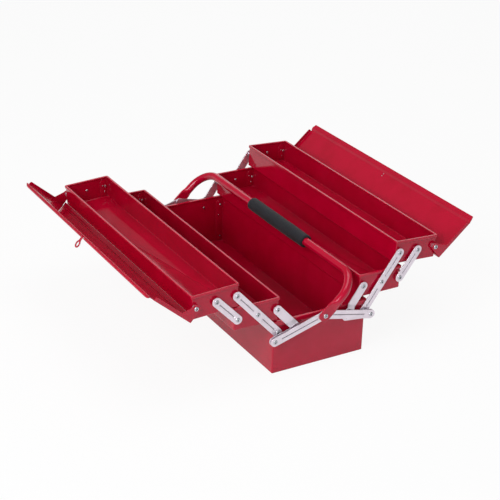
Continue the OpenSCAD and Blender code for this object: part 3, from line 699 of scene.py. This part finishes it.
def build_trays():
    """All four trays are the same stamping, drawn about its inner pivot and set in its place."""
    box = pressed_box(END_X, TRAY_IN, TRAY_OUT, -TRAY_RISE, TRAY_TOP, TRAY_ROLL_REACH, TRAY_ROLL_HEIGHT)
    flaps, welds = corner_flaps(TRAY_IN, TRAY_OUT, 3.0 - TRAY_RISE, TRAY_TOP - 5.0)
    for side, word in SIDES:
        at = PIVOTS[side]
        for level, spot, droop in (("lower", at["inner"], 0.0), ("upper", at["top"], -TRAY_DROOP)):
            body = f"{word}_{level}_tray"
            shell = Shell().grid(place(box, side, spot, droop))
            for grid in flaps:
                each_end(shell, place(grid, side, spot, droop))
            make(f"{word}_{level}_stamping", shell, RED, body, [body])
            rivets = Shell()
            for step in range(3 if level == "lower" else 2):
                local = np.array([step * PITCH, 0.0])
                pad = 0.0 if step == 1 else FLAP_THICK
                for profile in (head_profile(HEAD_X), clinch_profile(END_X - SHEET - pad),
                                plug_profile(END_X, HEAD_X)):
                    each_end(rivets, place(turned(profile, local), side, spot, droop))
            for grid in welds:
                each_end(rivets, place(grid, side, spot, droop))
            make(f"{word}_{level}_rivets", rivets, STEEL, body, [f"{body}_rivets"])
        hinge = Shell()
        for profile in (head_profile(LID_X + LID_SHEET + FACE_PLAY, HINGE_HEAD),
                        clinch_profile(FLAP_X),
                        plug_profile(END_X, LID_X + LID_SHEET + FACE_PLAY)):
            each_end(hinge, place(turned(profile, [2 * PITCH, 0.0]), side, at["top"], -TRAY_DROOP))
        make(f"{word}_lid_hinge_rivets", hinge, STEEL, f"{word}_upper_tray", [f"{word}_lid_rivets"])


# ---------------------------------------------------------------- lids
LID_OVER_RIM, LID_OVER_WALL, TRAY_TO_MIDDLE, LID_PAST_MIDDLE = 4.2, 1.4, 1.7, 2.9
LID_RISE = TRAY_HEIGHT - TRAY_RISE + LID_OVER_RIM
LID_OUT = TRAY_WIDTH - TRAY_INSET - 2 * PITCH + LID_OVER_WALL + LID_SHEET
SHUT_LID_PIVOT = TRAY_TO_MIDDLE + TRAY_INSET + 2 * PITCH
LID_EDGE = -SHUT_LID_PIVOT - LID_PAST_MIDDLE
LID_END = LID_X + LID_SHEET
LID_FOLD, LID_CUT = 1.8, 5.0
BEAD_WIDTH, BEAD_HEIGHT = 4.6, 4.4
BEAD_GAP, BEAD_STOP = 9.0, LID_END - LID_FOLD - LID_CUT + 1.5
BEAD_GAP_FADE, BEAD_STOP_FADE = 2.0, 12.0
CORNER_BEND, HEM_BEND, STEP_BEND, HEM_PLAY = 2.2, 0.55, 6.0, 0.25
FLANGE_DEPTH, FLANGE_SHORT = 2.5, 0.4
EAR, EAR_START, EAR_STOP, EAR_RUN = 7.5, -7.0, 7.2, 27.0
LIP_NOSE, LIP_NOSE_RUN = 4.0, 3.0


def lid_line(side):
    """Middle line of a lid's section, from the hinge flange's edge over the corner to the free edge."""
    h = LID_SHEET / 2
    top = LID_RISE - h
    start = [[LID_OUT - h, LID_RISE - HINGE_FLANGE + h], [LID_OUT - h, top]]
    if side == LEFT:
        under = top - 2 * h - HEM_PLAY
        corners = start + [[LID_EDGE + h, top], [LID_EDGE + h, under], [LID_EDGE + HEM_WIDTH, under]]
        return rounded_line(corners, [CORNER_BEND, HEM_BEND, HEM_BEND])
    knee = LID_EDGE + STEP_WIDTH
    corners = start + [[knee, top], [knee - STEP_RUN, top - STEP_DROP], [LID_EDGE + h, top - STEP_DROP]]
    return rounded_line(corners, [CORNER_BEND, STEP_BEND, STEP_BEND])


def lid_panel(side):
    """The lid's section carried along X. Each point of it reaches out to its own end: the reach draws
    in toward the free corners, straight on the left lid and round on the right, and on the flange."""
    loop = thick_line(lid_line(side), LID_SHEET)
    if side == LEFT:
        reach = LID_END - LID_FOLD - np.clip(LID_CUT - (loop[:, 0] - LID_EDGE), 0, LID_CUT)
    else:
        past = np.clip(LID_EDGE + LID_CUT - loop[:, 0], 0, LID_CUT)
        strip = np.clip(LID_EDGE + STEP_WIDTH - loop[:, 0], 0, 1)
        reach = LID_END - LID_FOLD * (1 - 0.9 * strip) - LID_CUT + np.sqrt(LID_CUT ** 2 - past ** 2)
    outermost = np.clip((loop[:, 0] - (LID_OUT - FLANGE_DEPTH)) / FLANGE_DEPTH, 0, 1)
    below = np.clip((LID_RISE - 1.6 - loop[:, 1]) / 2, 0, 1)
    reach = reach - FLANGE_SHORT * outermost * below
    x = np.linspace(-1, 1, 41)[:, None] * reach[None]
    return np.stack([x, np.broadcast_to(loop[:, 0], x.shape), np.broadcast_to(loop[:, 1], x.shape)], -1)


def lid_end(side):
    """End of a lid: the sheet folds down over a quarter circle and hangs as a lip that widens to a
    round ear at the hinge. One section along Y, whose hanging tip follows the lip's lower edge."""
    stop = LID_EDGE + (HEM_WIDTH if side == LEFT else STEP_WIDTH) + 1.0
    slope_stop = LID_OUT - EAR_RUN
    y = np.concatenate([
        np.linspace(stop, stop + 4, 9)[:-1], np.linspace(stop + 4, slope_stop, 24)[:-1],
        np.linspace(slope_stop, EAR_START, 14)[:-1], np.linspace(EAR_START, EAR_STOP, 22),
        [LID_OUT - 1.2]])
    ear = -np.sqrt(np.clip(EAR ** 2 - np.clip(y, 0.1 - EAR, EAR - 0.1) ** 2, 1.0, None))
    t = np.clip((y - slope_stop) / (EAR_START - slope_stop), 0, 1)
    slope = (LID_RISE - END_LIP) * (1 - t) + ear * t
    nose = np.clip((y - stop) / LIP_NOSE_RUN, 0, 1)
    low = np.where(y < EAR_START, slope, ear) + (1 - np.sqrt(1 - (1 - nose) ** 2)) * LIP_NOSE
    bend, h = (LID_END - LID_FOLD, LID_RISE - LID_FOLD), LID_SHEET / 2
    outer = arc(bend, LID_FOLD, 90, 0, 6)
    tip = arc((LID_END - h, h), h, 0, -180, 6)
    inner = arc(bend, LID_FOLD - LID_SHEET, 0, 90, 6)
    loop = np.concatenate([outer, tip, inner])
    hangs = np.repeat([0.0, 1.0, 0.0], [len(outer), len(tip), len(inner)])
    z = loop[:, 1] + hangs * low[:, None]
    return np.stack([np.broadcast_to(loop[:, 0], z.shape), np.broadcast_to(y[:, None], z.shape), z], -1)


def edge_bead():
    """Rolled bead on the left lid's free edge, on one side of the gap that is left for the hasp: an egg
    section whose size falls away along a quarter ellipse, short at the gap and long at the corner."""
    half_wide, half_high = BEAD_WIDTH / 2, (BEAD_HEIGHT + LID_SHEET) / 2
    t = np.linspace(0, math.pi, 41)
    x = (BEAD_GAP + BEAD_STOP) / 2 - (BEAD_STOP - BEAD_GAP) / 2 * np.cos(t)
    near_gap = np.clip((x - BEAD_GAP) / BEAD_GAP_FADE, 0.01, 1)
    near_stop = np.clip((BEAD_STOP - x) / BEAD_STOP_FADE, 0.01, 1)
    fade = np.minimum(near_gap, near_stop)
    size = np.sqrt(1 - (1 - fade) ** 2)[:, None]
    a = circle_angles(20)
    y = LID_EDGE + half_wide + half_wide * size * np.cos(a)
    z = LID_RISE - LID_SHEET + half_high + half_high * size * np.sin(a)
    z = z - (1 - size) * half_high
    return np.stack([np.broadcast_to(x[:, None], y.shape), y, z], -1)


def on_lid(p, side):
    """Points drawn on a shut lid about its hinge, swung open and put on the drooping tray."""
    return place(turn_x(p, -LID_SWING) + [0, 2 * PITCH, 0], side, PIVOTS[side]["top"], -TRAY_DROOP)


def build_lids():
    """Each lid in one piece: panel and two folded ends, and on the left one the rolled bead."""
    for side, word in SIDES:
        shell = Shell().grid(on_lid(lid_panel(side), side))
        for end in NEAR_FAR:
            shell.grid(on_lid(flip_end(lid_end(side), end), side))
            if side == LEFT:
                shell.grid(on_lid(flip_end(edge_bead(), end), side))
        make(f"{word}_lid_sheet", shell, RED, f"{word}_lid", [f"{word}_lid"])


# ---------------------------------------------------------------- links and lifting bars
LONG_GROOVES = ((10, LINK - 14), (LINK + 12, 2 * LINK - 9))
OUTER_MARGINS, BAR_MARGINS = (9, 8), (14, 14)


def between(start, stop, margins):
    """One groove along a strip, that far from its two pivots."""
    return ((margins[0], np.linalg.norm(stop - start) - margins[1]),)


def build_links():
    """Long link, outer link and lifting bar of each side, drawn at the near end and mirrored to the
    far one. Links are drawn about the right side's pivots, bars in their own place."""
    for side, word in SIDES:
        at = PIVOTS[side]
        low, bar_x = (LIFT_LEFT, LEFT_BAR_X) if side == LEFT else (LIFT_RIGHT, RIGHT_BAR_X)
        outer = at["outer"], at["top_outer"]
        bar = low, HANDLE_PIVOT
        strips = (
            (strip_grid(BASE_OUTER, at["top"], LINK_X, LINK_WIDTH, LONG_GROOVES), side,
             "long_strip", "long_links", "long_link"),
            (strip_grid(*outer, LINK_X, LINK_WIDTH, between(*outer, OUTER_MARGINS)), side,
             "outer_strip", "outer_links", "outer_link"),
            (strip_grid(*bar, bar_x, BAR_WIDTH, between(*bar, BAR_MARGINS)), RIGHT,
             "bar", "lifting_bars", "lifting_bar"))
        for end, near in ENDS:
            for grid, hand, piece, body, part in strips:
                shell = Shell().grid(flip_end(place(grid, hand, [0, 0]), end), "closed")
                make(f"{near}_{word}_{piece}", shell, ZINC, f"{word}_{body}",
                     [f"{near}_{word}_{part}"])


# ---------------------------------------------------------------- cranks
STEP_ROUND, FOOT_CORNER = 0.8, 0.8


def ramp(v):
    """Nothing below zero and the value above it, joined by a parabola over the step's rounding."""
    curve = (v + STEP_ROUND) ** 2 / (4 * STEP_ROUND)
    return np.where(v < -STEP_ROUND, 0, np.where(v > STEP_ROUND, v, curve))


def crank_strip(side):
    """Flat strip carried down from the tray pivot and stepped outward: a rounded section whose half
    width follows the round top end and whose layer follows the step."""
    h, t, edge = LINK_WIDTH / 2, LINK_THICK, STRIP_EDGE
    bend = np.linspace(-STEP_ROUND, STEP_ROUND, 5)
    u = np.concatenate([
        -h * np.cos(np.linspace(0.05, math.pi / 2, 12)), np.linspace(1, CRANK_STEP - 1.2, 10),
        CRANK_STEP + bend, CRANK_STEP + CRANK_RUN + bend])
    half = np.where(u < 0, np.sqrt(np.clip(h * h - u * u, 0.02, None)), h)
    climb = ramp(u - CRANK_STEP) - ramp(u - CRANK_STEP - CRANK_RUN)
    layer = LINK_X + climb * (FOOT_X - LINK_X) / CRANK_RUN
    r = np.minimum(edge, half * 0.5)[:, None]
    w = half[:, None] - r
    a = np.radians([0, 30, 60, 90])
    c, s = np.cos(a), np.sin(a)
    v = np.concatenate([w + r * c, -w - r * s, -w - r * c, w + r * s], 1)
    d = np.concatenate([t - edge + edge * s, t - edge + edge * c, edge - edge * s, edge - edge * c])
    grid = np.stack([layer[:, None] + d, v, np.broadcast_to(-u[:, None], v.shape)], -1)
    # The strip is drawn hanging straight down: lean it onto the line from tray pivot to base pivot
    return place(turn_x(grid, OPEN_ANGLE[side] - 90), side, PIVOTS[side]["inner"])


def crossing(a, b, ra, rb):
    """Direction outward at which the straight tangent from circle a to circle b touches them."""
    line = np.subtract(b, a)
    return angle_of(line) - 90 + math.degrees(math.asin(np.clip((ra - rb) / np.linalg.norm(line), -1, 1)))


def round_hull(circles, steps=10):
    """Closed outline round circles (centre, radius) taken in turn: an arc on each and straight tangents
    between neighbours, all walked counterclockwise."""
    out = []
    for k, (c, r) in enumerate(circles):
        (p, rp), (q, rq) = circles[k - 1], circles[(k + 1) % len(circles)]
        start = crossing(p, c, rp, r)
        sweep = (crossing(c, q, r, rq) - start) % 360
        out.append(arc(c, r, start, start + sweep, steps))
    return np.concatenate(out)


def plate_rows(loop, x, thick, edge=STRIP_EDGE):
    """Rows of a plate's rim: the outline drawn in along quarter circles at both faces."""
    step = directions(loop, closed=True)
    inward = np.stack([-step[:, 1], step[:, 0]], -1)
    a = np.radians([90, 60, 30, 0])
    back = np.stack([edge - edge * np.sin(a), edge - edge * np.cos(a)], -1)
    rows = np.concatenate([back, (back * [-1, 1] + [thick, 0])[::-1]])
    flat = loop[None] + rows[:, 1, None, None] * inward[None]
    xs = np.broadcast_to(x + rows[:, :1], flat.shape[:2])
    return np.concatenate([xs[..., None], flat], -1)


def crank_foot(side):
    """Three-cornered foot: a plate inside the hull of the two eyes round the base pivot and the
    lifting pivot and the two small corners at the end of the step."""
    h, corner = LINK_WIDTH / 2, FOOT_CORNER
    down = PIVOTS[side]["inner"] - along(OPEN_ANGLE[side], CRANK_STEP + CRANK_RUN + 1.0 + corner)
    over = along(OPEN_ANGLE[side] - 90, h - corner)
    loop = round_hull([(down - over, corner), (BASE_INNER, h), (PIVOTS[side]["lift"], h),
                       (down + over, corner)])
    return place(plate_rows(loop, FOOT_X, LINK_THICK), side, [0, 0])


def build_cranks():
    """Each crank's strip and foot in one piece, and the rivets that join them to the lifting bars."""
    for side, word in SIDES:
        body = f"{word}_cranks"
        for end, near in ENDS:
            shell = Shell().grid(flip_end(crank_strip(side), end)).grid(flip_end(crank_foot(side), end))
            make(f"{near}_{word}_crank_plate", shell, ZINC, body, [f"{near}_{word}_crank"])
        bar = LEFT_BAR_X if side == LEFT else RIGHT_BAR_X
        at = PIVOTS[side]["lift"] * [side, 1]
        seat = bar + LINK_THICK + FACE_PLAY
        rivets = Shell()
        for profile in (head_profile(seat),
                        plug_profile(FOOT_X - 1.5, seat, RIVET_HEAD / 2 * 0.55),
                        plug_profile(FOOT_X - RIVET_RISE + FACE_PLAY, FOOT_X, RIVET_HEAD / 2)):
            each_end(rivets, turned(profile, at))
        make(f"{word}_lift_rivets", rivets, STEEL, body, [f"{word}_crank_rivets"])


# ---------------------------------------------------------------- handle
EASE_START, EASE_RUN = 16.0, 19.0
BLADE_SQUARE, ROUND_SQUARE = 4.5, 2.0
GRIP_LIP, GRIP_PINCH, GRIP_FULL, GRIP_HOLLOW, GRIP_WOBBLE = 3.2, 0.12, 0.035, 0.15, 0.006


def at_handle(p):
    """Points drawn about the handle's pivot, leant over and carried to it."""
    return turn_x(p, -LEAN) + [0, *HANDLE_PIVOT]


def handle_tube_grid():
    """Round tube bent to a U; toward each end its section flattens to an oval blade with a round tip.
    A row is a superellipse across the path, its two half widths and its squareness following the height."""
    leg = HANDLE_HEIGHT - BEND
    tip = FLAT_WIDTH / 2
    rise = np.concatenate([-tip * np.cos(np.linspace(0.04, math.pi / 2, 14)), np.linspace(1, leg, 46)])
    up = np.stack([np.full(len(rise), TUBE_X), rise], -1)
    bend = arc((TUBE_X - BEND, leg), BEND, 0, 90, 26)[1:]
    bar = np.stack([np.linspace(TUBE_X - BEND, 0, 31)[1:], np.full(30, HANDLE_HEIGHT)], -1)
    half = np.concatenate([up, bend, bar])
    path = np.concatenate([half, half[-2::-1] * [-1, 1]])
    step = directions(path)
    normal = np.stack([step[:, 1], -step[:, 0]], -1)
    ease = np.clip((path[:, 1] - EASE_START) / EASE_RUN, 0, 1)
    ease = ease * ease * (3 - 2 * ease)
    blunt = np.where(path[:, 1] < 0, np.sqrt(np.clip(tip ** 2 - path[:, 1] ** 2, 0.02, None)) / tip, 1.0)
    thin = FLAT_THICK / 2 + (TUBE / 2 - FLAT_THICK / 2) * ease
    wide = tip * blunt + (TUBE / 2 - tip) * ease
    square = BLADE_SQUARE + (ROUND_SQUARE - BLADE_SQUARE) * np.clip(ease * 1.6, 0, 1)
    thin = thin * np.where(path[:, 1] < -tip * 0.93, 0.8, 1.0)
    a = circle_angles(40)
    power = 2 / square[:, None]
    across = thin[:, None] * squared(np.cos(a), power)
    deep = wide[:, None] * squared(np.sin(a), power)
    x = path[:, :1] + across * normal[:, :1]
    z = path[:, 1:] + across * normal[:, 1:]
    return np.stack([x, deep, z], -1)


def grip_grid():
    """Foam sleeve on the tube: a turned profile, a little fuller in the middle, with soft pinched ends
    and shallow thumb-worn hollows made by slow sines."""
    half = GRIP_LENGTH / 2
    r_in, r_out = TUBE / 2 + 0.05, GRIP_THICK / 2
    t = np.linspace(-1, 1, 120)
    body = r_out * (1 - GRIP_FULL * t ** 2) - GRIP_HOLLOW * np.sin(t * 9.0) - GRIP_PINCH
    right = arc((half - GRIP_LIP, body[-1] - GRIP_LIP), GRIP_LIP, 90, 0, 8)[1:]
    left = right[::-1] * [-1, 1]
    bore = np.array([[half - 0.4, r_in], [half / 3, r_in], [-half / 3, r_in], [-half + 0.4, r_in]])
    outer = np.concatenate([left, np.stack([t * (half - GRIP_LIP - 0.2), body], -1), right, bore])
    a = circle_angles(48)
    x = outer[:, :1] + GRIP_SHIFT + 0 * a
    wobble = 1 + GRIP_WOBBLE * np.sin(3 * a[None] + outer[:, :1] / 23.0)
    y = outer[:, 1:] * np.cos(a) * wobble
    z = outer[:, 1:] * np.sin(a) * wobble + HANDLE_HEIGHT
    return np.stack([x, y, z], -1)


def build_handle():
    """Bent tube, foam sleeve and the two pivot rivets."""
    shell = Shell().grid(at_handle(handle_tube_grid()))
    make("handle_bow", shell, RED_FITTING, "handle", ["handle_tube"], sharp=40)
    grip = Shell().grid(at_handle(grip_grid()), "ring")
    make("foam_sleeve", grip, FOAM, "handle", ["handle_grip"], sharp=60)
    rivets = Shell()
    for profile in (head_profile(FLAT_X + FLAT_THICK), plug_profile(LEFT_BAR_X, FLAT_X + 1.0)):
        each_end(rivets, at_handle(turned(profile, [0.0, 0.0])))
    make("handle_pivot_rivets", rivets, STEEL, "handle", ["handle_rivets"])


# ---------------------------------------------------------------- hasp and staple
HASP_REACH, HASP_WIDTH, HASP_THICK = 15.0, 13.0, 2.2
EYE_WIDTH, EYE_LENGTH, HASP_SWING = 7.0, 8.6, 94.0
NECK_HALF, NECK_SPREAD, NECK_PLAY = 2.4, 1.8, 0.3
KNUCKLE, KNUCKLE_LONG = 2.0, 4.0
HASP_PIN, HASP_BORE = 1.0, 1.08
LEAF_LONG, LEAF_THICK, LEAF_EDGE, LEAF_CORNER, LEAF_END = 10.0, 1.3, 0.35, 0.8, 1.5
STAPLE_WIRE, STAPLE_HEIGHT, STAPLE_ROOT, STAPLE_PLAY = 2.2, 8.0, 1.9, 1.4
HASP_HINGE = np.array([LID_EDGE + KNUCKLE, LID_RISE + KNUCKLE + LAYER_GAP])


def on_hasp(p):
    """Points drawn about the hasp's pin, carried onto the left lid."""
    return on_lid(p + [0, *HASP_HINGE], LEFT)


def oval_ring(width, length, bar, thick, y):
    """Ring of rounded flat bar, a squared circle carried round an oval whose middle lies at y."""
    w, reach = (width - bar) / 2, (length - width) / 2
    loop = np.concatenate([arc((0, reach), w, 0, 180, 18), arc((0, -reach), w, 180, 360, 18)])
    step = directions(loop, closed=True)
    normal = np.stack([step[:, 1], -step[:, 0]], -1)
    a = circle_angles(16)
    flat = loop[:, None] + (bar / 2 * squared(np.cos(a), 0.6))[None, :, None] * normal[:, None]
    z = np.broadcast_to(thick / 2 * squared(np.sin(a), 0.6), flat.shape[:2])
    return np.concatenate([flat, z[..., None]], -1) + [0, y, 0]


def neck_grid():
    """Neck from the knuckle to the ring: a squared circle carried along Y, whose half width grows
    with the square of the way."""
    t = np.linspace(0, 1, 12)[:, None]
    start, stop = HASP_BORE + NECK_PLAY, HASP_REACH - EYE_LENGTH / 2 - 0.6
    a = circle_angles(16)
    x = (NECK_HALF + NECK_SPREAD * t ** 2) * squared(np.cos(a), 0.4)
    y = np.broadcast_to(-start + (start - stop) * t, x.shape)
    z = np.broadcast_to(HASP_THICK / 2 * squared(np.sin(a), 0.6), x.shape)
    return np.stack([x, y, z], -1)


def barrel(x0, x1, radius, bore):
    """Rolled knuckle or pin along X with rounded rims, open down to the bore."""
    profile = np.array([[x0, bore], [x0, radius - 0.3], [x0 + 0.3, radius],
                        [x1 - 0.3, radius], [x1, radius - 0.3], [x1, bore]])
    return turned(profile, [0.0, 0.0], 24)


def leaf_rows(x0, x1):
    """Bracket leaf under a knuckle: a plate inside the hull of two small and two larger circles."""
    far = LEAF_LONG - LEAF_END
    loop = round_hull([
        ((x0 + LEAF_CORNER, LEAF_CORNER), LEAF_CORNER), ((x1 - LEAF_CORNER, LEAF_CORNER), LEAF_CORNER),
        ((x1 - LEAF_END, far), LEAF_END), ((x0 + LEAF_END, far), LEAF_END)])
    return plate_rows(loop, -KNUCKLE - LAYER_GAP, LEAF_THICK, LEAF_EDGE)[..., [1, 2, 0]]


def staple_grid(middle):
    """Wire staple on the right lid: a circle carried up one leg, round a half circle and down."""
    half = (EYE_LENGTH - STAPLE_WIRE - STAPLE_PLAY) / 2
    r = STAPLE_WIRE / 2
    top = STAPLE_HEIGHT - r - half
    leg = np.stack([np.full(7, half), np.append(-STAPLE_ROOT, np.linspace(-0.5, top, 6))], -1)
    path = np.concatenate([leg, arc((0, top), half, 0, 180, 16)[1:], leg[-2::-1] * [-1, 1]])
    step = directions(path)
    a = circle_angles(14)
    x = np.broadcast_to(r * np.cos(a), (len(path), len(a)))
    y = path[:, :1] - r * np.sin(a) * step[:, 1:]
    z = path[:, 1:] + r * np.sin(a) * step[:, :1]
    return np.stack([x, y, z], -1) + [0, middle, LID_RISE]


def build_hasp():
    """Ring with its neck and knuckle, bracket, hinge pin and the staple that they shut over."""
    bar = (HASP_WIDTH - EYE_WIDTH) / 2
    ring = oval_ring(HASP_WIDTH, EYE_LENGTH + 2 * bar, bar, HASP_THICK, -HASP_REACH)
    shell = Shell()
    shell.grid(on_hasp(turn_x(ring, -HASP_SWING)), "ring")
    shell.grid(on_hasp(turn_x(neck_grid(), -HASP_SWING)))
    shell.grid(on_hasp(barrel(-KNUCKLE_LONG / 2, KNUCKLE_LONG / 2, KNUCKLE, HASP_BORE)), "ring")
    make("hasp_ring", shell, RED_FITTING, "hasp", ["hasp_loop"], sharp=40)
    start = KNUCKLE_LONG / 2 + LAYER_GAP
    stop = start + KNUCKLE_LONG
    bracket = Shell()
    for end in NEAR_FAR:
        bracket.grid(on_hasp(flip_end(barrel(start, stop, KNUCKLE, HASP_BORE), end)), "ring")
        bracket.grid(on_hasp(flip_end(leaf_rows(start, stop), end)))
    make("hasp_knuckles", bracket, RED_FITTING, "left_lid", ["hasp_bracket"])
    half = stop + LAYER_GAP
    pin = Shell().grid(on_hasp(barrel(-half, half, HASP_PIN, 0.1)))
    make("hasp_pin", pin, STEEL, "left_lid", ["hasp_hinge_pin"])
    middle = HASP_REACH - HASP_HINGE[0] - 2 * SHUT_LID_PIVOT
    staple = Shell().grid(on_lid(staple_grid(middle), RIGHT))
    make("wire_staple", staple, ZINC, "right_lid", ["lid_staple"], sharp=50)


# ---------------------------------------------------------------- spacers and washers stay the frame's own
WELD_NEAR, EASED_EDGE = 0.00001, 0.0002


def dress_spacers():
    """Zinc on the frame's own washers and spacers, with their edges eased."""
    for name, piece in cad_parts.items():
        if "washers" in name or "spacers" in name:
            piece.data.materials.clear()
            piece.data.materials.append(ZINC)
            weld = piece.modifiers.new("weld", "WELD")
            weld.merge_threshold = WELD_NEAR
            bevel = piece.modifiers.new("soft edges", "BEVEL")
            bevel.width = EASED_EDGE
            bevel.segments = 2
            bevel.limit_method = "ANGLE"


# ---------------------------------------------------------------- stage, light and camera
WALL_TOP, CEILING = 0.0, 0.4
WALL_LIGHT, CEILING_LIGHT = 0.8, 0.22
CAMERA_WHITE, MIRROR_WHITE = 0.92, 0.55
SKY_WHITE, SKY_MIRROR = 1.0, 0.24
FLOOR, FLOOR_GREY = 40.0, (0.86, 0.86, 0.86, 1)


def seen_straight(tree, white, mirror):
    """Share of plain white: most for the camera, less for mirrors and glass, none for other rays."""
    path = tree.nodes.new("ShaderNodeLightPath")
    mirrored = maths(tree, "MAXIMUM", path.outputs["Is Glossy Ray"], path.outputs["Is Transmission Ray"])
    seen = maths(tree, "MULTIPLY", path.outputs["Is Camera Ray"], white)
    return maths(tree, "MAXIMUM", seen, maths(tree, "MULTIPLY", mirrored, mirror))


def build_stage():
    """White studio: a bright wall all round that falls off to a dim ceiling, and a white floor."""
    scene = bpy.context.scene
    scene.view_settings.view_transform = "Standard"
    world = bpy.data.worlds.new("studio")
    world.use_nodes = True
    scene.world = world
    tree = world.node_tree
    ground = tree.nodes["Background"]
    ground.inputs["Color"].default_value = (1, 1, 1, 1)
    where = tree.nodes.new("ShaderNodeTexCoord").outputs["Generated"]
    up = node(tree, "ShaderNodeSeparateXYZ", {0: where}).outputs["Z"]
    room = node(tree, "ShaderNodeMapRange", {
        "Value": up, "From Min": WALL_TOP, "From Max": CEILING, "To Min": WALL_LIGHT,
        "To Max": CEILING_LIGHT}, interpolation_type="SMOOTHSTEP").outputs["Result"]
    strength = maths(tree, "MAXIMUM", room, seen_straight(tree, SKY_WHITE, SKY_MIRROR))
    tree.links.new(strength, ground.inputs["Strength"])

    mesh = bpy.data.meshes.new("floor")
    corners = [(-FLOOR, -FLOOR, 0), (FLOOR, -FLOOR, 0), (FLOOR, FLOOR, 0), (-FLOOR, FLOOR, 0)]
    mesh.from_pydata(corners, [], [(0, 1, 2, 3)])
    floor = bpy.data.objects.new("floor", mesh)
    scene.collection.objects.link(floor)
    material = bpy.data.materials.new("pale floor")
    material.use_nodes = True
    tree = material.node_tree
    tree.nodes.clear()
    out = tree.nodes.new("ShaderNodeOutputMaterial")
    matt = node(tree, "ShaderNodeBsdfDiffuse", {"Color": FLOOR_GREY})
    glow = node(tree, "ShaderNodeEmission", {"Color": (1, 1, 1, 1), "Strength": 1.0})
    white = seen_straight(tree, CAMERA_WHITE, MIRROR_WHITE)
    mixed = node(tree, "ShaderNodeMixShader", {0: white, 1: matt.outputs[0], 2: glow.outputs[0]})
    tree.links.new(mixed.outputs[0], out.inputs["Surface"])
    mesh.materials.append(material)


def lamp(name, power, size, spot, aim):
    """Area lamp at a spot, turned to its aim and hidden from the camera."""
    data = bpy.data.lights.new(name, "AREA")
    data.energy = power
    data.shape = "RECTANGLE"
    data.size, data.size_y = size
    stand = bpy.data.objects.new(name, data)
    stand.visible_camera = False
    bpy.context.scene.collection.objects.link(stand)
    stand.location = spot
    stand.rotation_euler = (Vector(aim) - Vector(spot)).to_track_quat("-Z", "Y").to_euler()


def build_lamps():
    """Soft light from above and in front, and a weak strip behind that picks out the rims."""
    lamp("overhead softbox", power=21.0, size=(2.0, 1.6), spot=(0.1, 0.1, 2.3), aim=(0, 0, 0.1))
    lamp("front softbox", power=48.0, size=(1.6, 1.4), spot=(1.1, -2.1, 1.75), aim=(0, 0, 0.15))
    lamp("back strip", power=7.0, size=(2.0, 1.2), spot=(-2.37, 1.45, 1.37), aim=(0, 0, 0.15))


CAMERA_SPOT = (2.04702, -1.20352, 1.23705)
CAMERA_TURN, CAMERA_RISE, CAMERA_ROLL = 59.362, 25.395, 1.681
FILM = 36.0
FOCAL = 2.7454 * FILM


def build_camera():
    """Camera looking back along the azimuth and elevation, rolled about its own line of sight."""
    az, el, roll = (math.radians(v) for v in (CAMERA_TURN, CAMERA_RISE, CAMERA_ROLL))
    back = np.array([math.sin(az) * math.cos(el), -math.cos(az) * math.cos(el), math.sin(el)])
    right = np.array([math.cos(az), math.sin(az), 0.0])
    up = np.cross(back, right)
    r = right * math.cos(roll) + up * math.sin(roll)
    u = -right * math.sin(roll) + up * math.cos(roll)
    matrix = Matrix([[r[k], u[k], back[k], CAMERA_SPOT[k]] for k in range(3)] + [[0, 0, 0, 1]])
    data = bpy.data.cameras.new("camera")
    data.lens = FOCAL
    data.sensor_width = FILM
    camera = bpy.data.objects.new("camera", data)
    bpy.context.scene.collection.objects.link(camera)
    camera.matrix_world = matrix
    bpy.context.scene.camera = camera


build_base()
build_trays()
build_lids()
build_links()
build_cranks()
build_handle()
build_hasp()
dress_spacers()
build_stage()
build_lamps()
build_camera()
